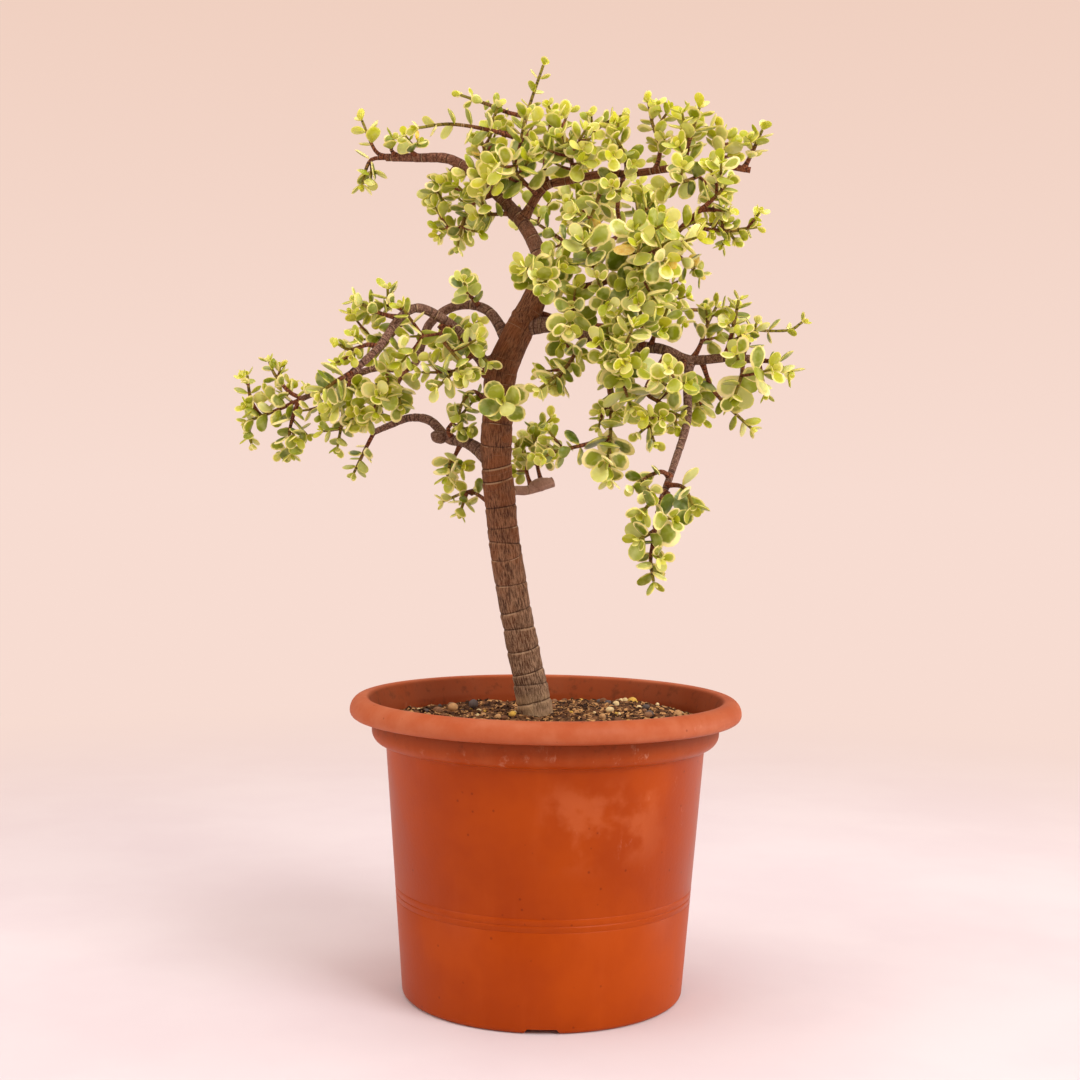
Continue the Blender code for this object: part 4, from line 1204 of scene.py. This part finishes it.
# %% [markdown]
# ## The shoots
# Each entry names a shoot, its parent, its leaf length in millimetres, the number of leaf pairs,
# the share of the twig that is bare, how often a leaf has a side twig, how lime the leaves are,
# the seed of its random numbers, and the twig's points. The large old leaves hang low on the
# right and in front. The small lime ones are at the top right and at the far left.
# %% Points of the shoots
SHOOTS = [
    ("crown_tip", "limb_upper_left", 9, 7, 0.3, 0.0, 0.5, 1400, [(-2.7, 1.2, 37.5),
     (-2.5, 0.9, 39.0), (-1.8, 0.4, 42.1), (-0.8, 0.0, 45.1)]),
    ("crown_left", "shoot_crown_tip", 12, 5, 0.15, 0.0, 0.4, 1601, [(-4.4, -0.6, 40.5),
     (-7.0, -1.8, 40.6), (-9.1, -2.8, 40.1)]),
    ("crown_left_high", "shoot_crown_tip", 9, 5, 0.15, 0.0, 0.4, 3002, [(-3.3, 1.4, 42.2),
     (-4.5, 2.4, 42.9), (-6.6, 3.8, 43.9)]),
    ("crown_right", "limb_upper_right", 10, 7, 0.15, 0.35, 0.35, 403, [(1.3, -1.0, 39.1),
     (3.1, -2.2, 40.5), (4.5, -2.8, 41.1)]),
    ("upper_left_tip", "limb_upper_left", 12, 3, 0.25, 0.0, 0.6, 1004, [(-13.0, 7.0, 40.6),
     (-14.0, 7.2, 42.8)]),
    ("upper_left_down", "limb_upper_left", 12, 6, 0.15, 0.55, 0.15, 205, [(-5.8, 2.4, 35.9),
     (-6.3, 1.8, 34.4), (-6.6, 1.4, 32.9)]),
    ("crown_front", "limb_upper_right", 17, 5, 0.15, 0.7, 0.2, 3006, [(-2.3, -1.6, 37.2),
     (-2.8, -3.2, 38.1)]),
    ("top_centre", "limb_upper_right", 14, 5, 0.1, 0.7, 0.25, 1607, [(1.1, -2.4, 38.2),
     (0.4, -3.6, 39.4)]),
    ("top_mid", "limb_upper_right", 14, 7, 0.1, 0.32, 0.15, 2208, [(3.0, -3.6, 35.5),
     (2.3, -5.4, 33.3)]),
    ("top_pale", "limb_upper_right", 12, 5, 0.1, 0.32, 0.3, 2409, [(4.7, -3.2, 38.4),
     (4.1, -4.2, 39.3)]),
    ("top_right_a", "limb_upper_right", 10, 7, 0.1, 0.25, 0.5, 1410, [(7.2, -1.4, 39.3),
     (6.7, -0.8, 41.0), (6.4, -0.4, 42.6)]),
    ("top_right_b", "limb_upper_right", 13, 7, 0.1, 0.3, 0.5, 811, [(8.9, -3.6, 39.0),
     (9.6, -3.6, 41.5)]),
    ("top_right_c", "limb_upper_right", 10, 5, 0.1, 0.3, 0.5, 2412, [(13.2, -3.4, 38.7),
     (13.8, -3.6, 40.1)]),
    ("high_right_end", "limb_high_right", 13, 4, 0.1, 0.27, 0.25, 1413, [(10.4, -7.3, 35.0),
     (11.1, -7.6, 35.8)]),
    ("high_right_side", "limb_high_right", 9, 6, 0.2, 0.09, 0.45, 3414, [(9.9, -6.2, 33.1),
     (11.5, -5.8, 33.1), (13.3, -5.4, 33.4)]),
    ("curved", "limb_upper_right", 18, 6, 0.55, 0.8, 0.1, 3215, [(4.3, -3.4, 34.6),
     (5.1, -5.2, 32.1), (5.6, -7.6, 30.1)]),
    ("round_leaf", "limb_high_right", 17, 5, 0.1, 0.0, 0.05, 1816, [(2.6, -4.2, 31.2),
     (2.0, -6.0, 32.3)]),
    ("rosette_top", "trunk", 16, 6, 0.35, 0.5, 0.1, 1417, [(-0.4, -3.0, 30.2),
     (-0.5, -5.6, 30.1)]),
    ("right_back", "trunk", 10, 11, 0.3, 0.16, 0.35, 618, [(3.7, 1.0, 27.5), (7.3, 2.4, 28.5),
     (10.7, 3.4, 28.9), (13.8, 4.2, 27.8), (16.9, 4.6, 27.7), (18.0, 4.6, 28.3)]),
    ("right_end", "limb_right", 12, 4, 0.1, 0.07, 0.25, 219, [(14.6, -6.2, 24.5),
     (15.4, -6.6, 23.9)]),
    ("right_up", "limb_right", 10, 6, 0.15, 0.4, 0.3, 3020, [(11.8, -5.4, 26.4),
     (12.2, -5.6, 28.6)]),
    ("orange", "limb_right", 11, 5, 0.4, 0.0, 0.35, 1421, [(10.8, -3.6, 22.9), (12.1, -3.2, 21.6),
     (13.5, -2.8, 20.4)]),
    ("hanging_mid", "limb_hanging", 16, 3, 0.2, 0.05, 0.05, 1022, [(8.5, -9.2, 16.3),
     (9.0, -10.2, 15.2)]),
    ("hanging_end", "limb_hanging", 12, 5, 0.05, 0.12, 0.15, 1223, [(6.5, -8.8, 11.7),
     (6.7, -9.0, 10.3)]),
    ("inner_rosette", "limb_right", 16, 5, 0.6, 0.18, 0.1, 2224, [(3.8, -3.0, 23.8),
     (4.0, -4.4, 21.6), (3.9, -6.0, 18.9), (3.6, -7.2, 17.9)]),
    ("thin", "shoot_inner_rosette", 11, 6, 0.3, 0.14, 0.2, 225, [(1.7, -4.6, 18.9),
     (-0.8, -3.8, 18.3)]),
    ("big_rosette", "limb_right", 17, 5, 0.3, 0.7, 0.05, 26, [(4.7, -4.6, 24.4),
     (4.5, -6.8, 23.3)]),
    ("crook", "limb_right", 11, 6, 0.35, 0.27, 0.2, 3027, [(6.3, -4.4, 22.7), (7.5, -5.4, 21.5),
     (5.8, -6.4, 19.8)]),
    ("trunk_right", "limb_right", 14, 6, 0.3, 0.23, 0.15, 28, [(1.8, -2.6, 25.6),
     (1.0, -3.8, 24.2), (-0.7, -5.0, 22.7)]),
    ("trunk_rosette", "trunk", 18, 4, 0.45, 0.14, 0.15, 2629, [(-3.1, -1.8, 21.8),
     (-3.2, -3.6, 21.9)]),
    ("knuckle", "limb_arch_left", 13, 5, 0.25, 0.23, 0.15, 2030, [(-6.6, -1.8, 23.9),
     (-7.6, -3.0, 22.8)]),
    ("left_top", "limb_left", 13, 5, 0.1, 0.0, 0.1, 2031, [(-5.8, 0.4, 29.6),
     (-6.0, -1.2, 30.2)]),
    ("left_mid", "limb_left", 15, 5, 0.15, 0.0, 0.2, 2832, [(-10.7, 2.0, 23.2),
     (-10.4, 1.0, 21.8)]),
    ("arch_end", "limb_arch_left", 15, 5, 0.1, 0.0, 0.25, 33, [(-14.2, -5.2, 22.9),
     (-15.1, -5.6, 22.2)]),
    ("left_end", "limb_left", 12, 8, 0.05, 0.25, 0.35, 1234, [(-19.8, 5.6, 21.5),
     (-21.9, 5.8, 20.7)]),
    ("left_up", "limb_arch_left", 11, 5, 0.1, 0.3, 0.25, 1835, [(-11.7, -2.6, 27.8),
     (-13.2, -2.6, 28.6)]),
    ("left_hang", "limb_left", 11, 6, 0.15, 0.27, 0.15, 2236, [(-14.8, 4.2, 21.4),
     (-15.1, 3.8, 18.9)]),
    ("low_left_end", "limb_low_left", 10, 5, 0.2, 0.14, 0.15, 837, [(-13.4, 6.8, 18.9),
     (-14.3, 7.2, 17.1)]),
    ("low_back", "trunk", 10, 5, 0.35, 0.0, 0.3, 1638, [(-5.6, 4.6, 15.8), (-7.6, 5.6, 15.1)]),
    ("low_back_right", "limb_low_back", 12, 5, 0.25, 0.4, 0.2, 3439, [(-0.9, 5.2, 18.2),
     (-1.0, 5.8, 20.4)]),
    ("back_a", "limb_back", 14, 6, 0.1, 0.32, 0.2, 840, [(6.7, 11.4, 36.3), (7.9, 12.0, 38.0)]),
    ("back_b", "limb_back", 14, 6, 0.1, 0.7, 0.2, 41, [(2.9, 10.4, 36.1), (2.5, 11.2, 38.6)]),
    ("back_c", "limb_back", 12, 6, 0.2, 0.32, 0.2, 42, [(0.6, 9.6, 34.8), (-2.4, 10.8, 36.9)]),
    ("back_d", "trunk", 12, 8, 0.3, 0.32, 0.2, 1443, [(-5.8, 5.0, 26.4), (-7.4, 8.0, 27.4),
     (-8.3, 10.0, 26.5)]),
]

# %% Small sprigs that belong to a shoot's piece
SPRIGS = [
    ("crown_right", "limb_upper_right", 9, 6, 0.3, 0.2, 0.6, 2244, [(-0.6, 0.2, 38.3),
     (-0.5, 1.5, 39.9), (-0.2, 2.0, 42.0)]),
    ("crown_left", "shoot_crown_left", 10, 3, 0.1, 0.3, 0.5, 3245, [(-4.3, 1.2, 41.2),
     (-3.9, 1.0, 42.4)]),
    ("right_end", "limb_right", 16, 4, 0.1, 0.2, 0.1, 1646, [(12.3, -7.0, 23.6),
     (11.8, -8.0, 22.3)]),
    ("big_rosette", "limb_right", 15, 4, 0.2, 0.27, 0.1, 3247, [(7.8, -7.0, 22.9),
     (6.9, -8.5, 23.1)]),
    ("knuckle", "limb_low_left", 14, 4, 0.2, 0.4, 0.2, 2448, [(-6.7, 3.7, 18.4),
     (-7.0, 3.0, 17.9), (-7.2, 3.0, 16.9)]),
    ("upper_left_down", "limb_upper_left", 15, 4, 0.3, 0.3, 0.2, 649, [(-3.4, 1.5, 35.2),
     (-5.1, 0.5, 34.9)]),
    ("high_right_end", "limb_high_right", 10, 5, 0.1, 0.18, 0.2, 1050, [(7.3, -5.8, 31.9),
     (8.4, -5.0, 31.4), (9.8, -4.0, 30.4)]),
    ("right_back", "shoot_right_back", 12, 4, 0.1, 0.6, 0.3, 51, [(7.2, 1.5, 29.0),
     (7.8, 0.0, 29.6)]),
    ("left_end", "limb_left", 10, 5, 0.1, 0.2, 0.3, 1052, [(-18.9, 5.4, 22.9), (-19.9, 5.4, 24.1),
     (-20.3, 5.4, 25.0)]),
    ("left_end", "limb_left", 13, 6, 0.1, 0.3, 0.15, 253, [(-18.2, 5.0, 21.9), (-18.7, 5.0, 20.1),
     (-18.6, 5.0, 18.4)]),
    ("top_right_c", "limb_upper_right", 15, 5, 0.1, 0.18, 0.2, 854, [(9.8, -2.9, 37.3),
     (9.0, -4.5, 36.6), (7.6, -5.5, 36.0)]),
    ("top_right_b", "limb_upper_right", 13, 5, 0.1, 0.3, 0.5, 2655, [(10.9, -3.0, 38.3),
     (11.3, -2.5, 39.2), (11.3, -2.0, 40.3)]),
    ("left_top", "limb_arch_left", 12, 5, 0.1, 0.0, 0.15, 1456, [(-7.6, -1.2, 27.0),
     (-5.5, -1.6, 25.8), (-4.3, -2.4, 24.6)]),
    ("knuckle", "limb_arch_left", 15, 5, 0.1, 0.5, 0.15, 1658, [(-7.4, -2.2, 26.2),
     (-5.6, -3.2, 24.0)]),
    ("round_leaf", "limb_high_right", 13, 4, 0.2, 0.23, 0.1, 2459, [(3.2, -4.0, 29.2),
     (3.5, -6.5, 28.4), (3.6, -8.0, 27.9)]),
    ("high_right_end", "limb_high_right", 13, 4, 0.2, 0.0, 0.25, 2860, [(4.6, -5.0, 29.7),
     (5.1, -7.5, 29.1)]),
    ("round_leaf", "limb_right", 16, 4, 0.2, 0.4, 0.1, 3061, [(1.6, -2.5, 28.0),
     (1.3, -5.5, 28.1)]),
    ("big_rosette", "limb_right", 14, 4, 0.4, 0.0, 0.2, 462, [(6.0, -4.5, 26.7),
     (5.7, -7.0, 27.6), (5.5, -8.5, 27.9)]),
    ("trunk_right", "limb_right", 14, 3, 0.2, 0.4, 0.2, 2263, [(0.6, -1.5, 26.4),
     (0.7, -3.0, 25.8)]),
    ("left_mid", "limb_left", 15, 5, 0.15, 0.23, 0.2, 664, [(-14.2, 4.0, 24.1),
     (-14.3, 3.0, 22.6), (-13.9, 2.5, 20.8)]),
    ("left_mid", "limb_left", 15, 4, 0.15, 0.5, 0.2, 2265, [(-11.7, 3.0, 24.1),
     (-11.9, 1.5, 22.5), (-12.1, 1.0, 21.3)]),
    ("arch_end", "limb_arch_left", 13, 4, 0.15, 0.5, 0.2, 3066, [(-10.3, -1.0, 27.1),
     (-11.3, -1.5, 25.7), (-11.9, -2.0, 24.8)]),
    ("arch_end", "limb_arch_left", 10, 4, 0.15, 0.4, 0.3, 2267, [(-12.2, -4.0, 25.5),
     (-13.3, -4.5, 25.1), (-14.0, -5.0, 25.4)]),
    ("left_hang", "limb_left", 10, 4, 0.15, 0.4, 0.2, 3268, [(-15.8, 4.6, 23.3),
     (-16.4, 4.6, 22.3), (-16.5, 4.6, 21.2)]),
    ("left_up", "limb_arch_left", 11, 3, 0.15, 0.18, 0.2, 869, [(-10.9, -2.5, 28.5),
     (-11.0, -3.0, 29.3)]),
    ("knuckle", "trunk", 10, 5, 0.3, 0.0, 0.2, 1470, [(-5.4, 2.5, 22.9), (-6.2, 2.0, 21.9),
     (-6.4, 2.0, 20.5)]),
    ("low_back_right", "limb_low_back", 10, 5, 0.2, 0.23, 0.2, 871, [(-1.6, 5.0, 17.6),
     (-1.0, 5.0, 18.9), (-1.2, 5.0, 20.0)]),
    ("hanging_mid", "limb_hanging", 15, 3, 0.3, 0.1, 0.05, 1672, [(7.6, -8.5, 15.8),
     (6.3, -10.0, 15.2), (5.8, -11.0, 14.7)]),
    ("hanging_mid", "limb_hanging", 15, 3, 0.3, 0.1, 0.1, 1073, [(7.1, -8.8, 14.5),
     (7.7, -10.5, 14.3)]),
    ("hanging_mid", "limb_hanging", 14, 3, 0.3, 0.1, 0.1, 1874, [(6.8, -8.8, 13.6),
     (5.7, -10.0, 13.0)]),
    ("upper_left_tip", "limb_upper_left", 13, 3, 0.1, 0.05, 0.2, 275, [(-13.2, 6.4, 39.8),
     (-13.6, 6.2, 38.9), (-13.8, 6.2, 38.0)]),
    ("upper_left_tip", "limb_upper_left", 12, 2, 0.1, 0.0, 0.2, 2076, [(-11.7, 5.8, 40.4),
     (-11.5, 5.6, 41.1)]),
    ("upper_left_tip", "limb_upper_left", 11, 3, 0.1, 0.3, 0.2, 1277, [(-10.2, 5.2, 40.2),
     (-9.7, 4.6, 40.7)]),
    ("upper_left_down", "limb_upper_left", 12, 5, 0.15, 0.4, 0.1, 2878, [(-7.0, 4.2, 38.9),
     (-8.0, 3.8, 37.6), (-8.5, 3.6, 36.5)]),
    ("crown_left", "limb_upper_left", 13, 4, 0.2, 0.3, 0.2, 2279, [(-4.7, 2.2, 39.1),
     (-4.9, 1.6, 39.9), (-5.1, 1.4, 40.4)]),
    ("high_right_side", "limb_high_right", 10, 5, 0.15, 0.3, 0.4, 880, [(10.6, -6.0, 34.3),
     (11.2, -5.6, 33.4), (11.9, -5.2, 32.6)]),
    ("right_up", "limb_right", 12, 5, 0.2, 0.18, 0.3, 3081, [(9.9, -4.0, 25.8),
     (10.4, -3.4, 27.2), (11.0, -3.0, 28.4)]),
    ("right_up", "limb_right", 10, 4, 0.15, 0.2, 0.3, 3282, [(12.7, -5.5, 25.4),
     (13.1, -5.5, 26.2), (13.4, -5.5, 27.1)]),
    ("big_rosette", "limb_right", 15, 4, 0.15, 0.23, 0.2, 283, [(6.9, -3.5, 26.5),
     (7.3, -4.5, 27.2), (7.6, -5.0, 28.1)]),
    ("orange", "limb_right", 14, 5, 0.15, 0.18, 0.2, 2284, [(9.2, -4.4, 24.4), (9.5, -4.0, 23.1),
     (9.8, -3.5, 21.8)]),
    ("right_end", "limb_right", 10, 3, 0.15, 0.2, 0.2, 85, [(13.6, -5.8, 24.4),
     (13.8, -6.0, 23.4), (14.0, -6.0, 22.5)]),
    ("crook", "limb_right", 10, 5, 0.3, 0.14, 0.2, 2486, [(3.7, -2.6, 24.8), (4.1, -3.0, 22.9),
     (4.3, -3.4, 21.1)]),
    ("hanging_mid", "limb_hanging", 12, 3, 0.15, 0.1, 0.1, 3087, [(7.1, -8.2, 17.3),
     (6.1, -8.8, 16.9), (5.3, -9.2, 16.3)]),
    ("low_left_end", "limb_low_left", 12, 4, 0.2, 0.3, 0.2, 88, [(-7.2, 3.4, 20.3),
     (-6.2, 2.8, 21.3), (-5.5, 2.4, 22.1)]),
    ("low_back", "shoot_low_back", 10, 4, 0.15, 0.0, 0.3, 1889, [(-5.8, 4.2, 15.8),
     (-6.1, 4.2, 15.0), (-6.3, 4.2, 14.3)]),
    ("left_end", "shoot_left_end", 9, 4, 0.15, 0.1, 0.4, 2090, [(-21.6, 5.7, 22.1),
     (-21.8, 5.6, 23.1), (-21.9, 5.6, 24.0)]),
    ("left_end", "shoot_left_end", 9, 3, 0.15, 0.1, 0.4, 291, [(-21.7, 5.8, 20.5),
     (-21.8, 5.8, 19.8), (-21.6, 5.8, 19.1)]),
]


# %% Grow every shoot
TWIG_FOOT = 1.7 * MM
TWIG_TIP = MM
foliage = {}
leaf_count = 0
for index, (name, *shoot) in enumerate(SHOOTS):
    node = f"shoot_{name}"
    leaves = []
    twigs = []
    rows = [shoot] + [row[1:] for row in SPRIGS if row[0] == name]
    for parent, leaf, pairs, bare, sides, lime, seed, drawn in rows:
        dice = random.Random(seed)
        points = [plant_point(point) for point in drawn]
        line = branch_line(parent, points, TWIG_FOOT, TWIG_TIP, 0.003)
        lines.setdefault(node, line)
        twigs.append(line)
        plan = (leaf * MM * LEAF_GROWTH, pairs, bare, sides, lime)
        leafy_twig(line, plan, dice, leaves, twigs, 2)
    leaf_count += len(leaves)
    foliage[node] = joined(f"{node}_leaves", leaves)
    stems = tube(f"{node}_twigs", twigs, 8)
    bark(stems, twigs, gap=0.0070, dent=0.00012, ridge=0.00006, tilt=0.0003, seed=index,
         ages=(0.35, 0.95), grey=0.0)
    wood[node] = stems
bpy.data.objects.remove(leaf_shape, do_unlink=True)
print("leaves:", leaf_count, "of", len(foliage), "shoots")
print("leaf faces:", sum(len(item.data.polygons) for item in foliage.values()))

# %% [markdown]
# ## Finish of the leaves
# The green middle runs from deep olive green on old leaves to lime on young ones. Some leaves,
# and blotches on others, carry a painted highlight: a pale grey-green that stands in for the
# sheen of a strongly lit leaf. The cream edge is a step on the distance from the middle of the
# leaf, pushed about by noise so that no two edges are the same width. Fleshy leaves let a little
# light through, so they have some subsurface scattering and a soft waxy shine.
# %% Leaf
leaf_finish = Finish("variegated_leaf")
spot = leaf_finish.place()
px, py, _ = leaf_finish.parts(leaf_finish.attribute("disc"))
pale, lime, chance = leaf_finish.parts(leaf_finish.attribute("look"))
gold = leaf_finish.number("gold")
middle_x = px - 0.06
from_middle = (middle_x * middle_x + py * py).root()
patchy = leaf_finish.noise(spot, 330, 4, 0.65)
blotch = leaf_finish.noise(spot, 130, 2)
edge = from_middle + (patchy - 0.5) * 0.30 + (blotch - 0.5) * 0.55
width = pale * pale * 0.30 + 0.01
cream = (edge - 0.93 + width).rise(-0.11, 0.09) * (pale * 0.25 + 0.75)
old_green = leaf_finish.mix(chance, tone(84, 106, 0), tone(174, 186, 56))
young_green = leaf_finish.mix(chance, tone(168, 180, 4), tone(226, 222, 62))
green = leaf_finish.mix(lime.rise(0.15, 0.9), old_green, young_green)
# Painted highlight: a pale grey-green on some leaves and in blotches stands in for the sheen of
# strongly lit leaves.
painted_leaf_sheen = blotch.rise(0.42, 0.66) * 0.3 + chance.rise(0.66, 0.95) * 0.55
green = leaf_finish.mix(painted_leaf_sheen, green, tone(220, 224, 150))
cream_colour = leaf_finish.mix(pale, tone(242, 230, 108), tone(254, 242, 172))
cream_colour = leaf_finish.mix(lime.rise(0.5, 1.0) * 0.5, cream_colour, tone(238, 232, 100))
colour = leaf_finish.mix(cream, green, cream_colour)
yellowed = leaf_finish.mix(patchy.rise(0.35, 0.65), tone(244, 222, 124), tone(240, 192, 62))
colour = leaf_finish.mix(gold * 0.9, colour, yellowed)
shine = 0.27 + patchy * 0.18
leaf_finish.surface(colour, shine, patchy * 0.4 + blotch, 0.0006, Subsurface_Weight=0.22,
                    Subsurface_Scale=0.003, Specular_IOR_Level=0.4)
leaf_finish.shader.inputs["Subsurface Radius"].default_value = (0.9, 1.0, 0.2)

# %% [markdown]
# ## Finish of the wood
# The bark's colour is read in the wood's own coordinates. Long thin noise makes fibres along the
# trunk, fine noise makes corky crumbs, and the ring scars are paler with a dark line. The foot
# of the trunk is dusty and grey, the upper trunk and limbs are red brown, and twigs
# are redder still and turn green at the tip.
# %% Bark
bark_finish = Finish("bark")
grain = bark_finish.attribute("grain")
ring = bark_finish.number("ring")
young = bark_finish.number("young")
grey = bark_finish.number("grey")
z = bark_finish.parts(bark_finish.place())[2]
fibre = bark_finish.noise(bark_finish.stretch(grain, (1, 1, 0.16)), 1150, 6, 0.75)
crumb = bark_finish.noise(grain, 750, 6, 0.75)
patch = bark_finish.noise(grain, 75, 3)
low = z.rise(SOIL_LEVEL + 0.17, SOIL_LEVEL)
old = bark_finish.mix(fibre.rise(0.38, 0.62), tone(72, 43, 29), tone(160, 110, 77))
old = bark_finish.mix(patch.rise(0.42, 0.62) * 0.5, old, tone(142, 82, 44))
dusty = bark_finish.mix(fibre.rise(0.40, 0.62), tone(80, 58, 46), tone(196, 166, 134))
old = bark_finish.mix(low * 0.8, old, dusty)
foot = z.rise(SOIL_LEVEL + 0.024, SOIL_LEVEL + 0.004)
old = bark_finish.mix(foot * patch.rise(0.3, 0.6) * 0.7, old, tone(196, 166, 126))
red = bark_finish.mix(crumb.rise(0.38, 0.64), tone(88, 38, 22), tone(168, 104, 70))
weathered = bark_finish.mix(crumb.rise(0.38, 0.64), tone(92, 66, 58), tone(172, 140, 122))
colour = bark_finish.mix(young.rise(0.0, 0.3), old, red)
colour = bark_finish.mix(grey.rise(0.0, 1.0) * 0.85, colour, weathered)
colour = bark_finish.mix(grey.rise(1.0, 1.5) * 0.6, colour, tone(206, 164, 140))
colour = bark_finish.mix(young.rise(0.55, 0.95) * 0.8, colour, tone(150, 148, 44))
broken = patch.rise(0.46, 0.60)
lip = ring.distance_to(-0.0011).rise(0.0010, 0.0003) * broken
crack = ring.distance_to(0).rise(0.0007, 0.0002)
colour = bark_finish.mix(lip * 0.6, colour, tone(206, 172, 136))
crack = crack * (0.35 + crumb.rise(0.40, 0.55) * 0.65)
colour = bark_finish.mix(crack * 0.8, colour, tone(52, 32, 24))
rough = 0.85 - young.rise(0.2, 0.9) * 0.25
height = fibre + crumb * 0.6 - crack * 0.5
bark_finish.surface(colour, rough, height, 0.0016, Specular_IOR_Level=0.3)

# %% Give each piece of the plant its finish, hang it under the root and hide its imported part
for node, item in wood.items():
    smooth(item, 60)
    item.data.materials.clear()
    item.data.materials.append(bark_finish.material)
    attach(item, "root")
    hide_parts(node)
    "old_bark" if node == "trunk" else "young_bark"
for node, item in foliage.items():
    item.data.materials.clear()
    item.data.materials.append(leaf_finish.material)
    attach(item, "root")
    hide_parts(node)

# %% [markdown]
# ## The two boxes
# The visual model has to stay in the imported model's box, so both boxes are written down.
# %% Write the boxes
visual_low, visual_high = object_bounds()
for name, low, high in (("cad", cad_low, cad_high), ("visual", visual_low, visual_high)):
    print(name, [round(v / MM) for v in low], [round(v / MM) for v in high])
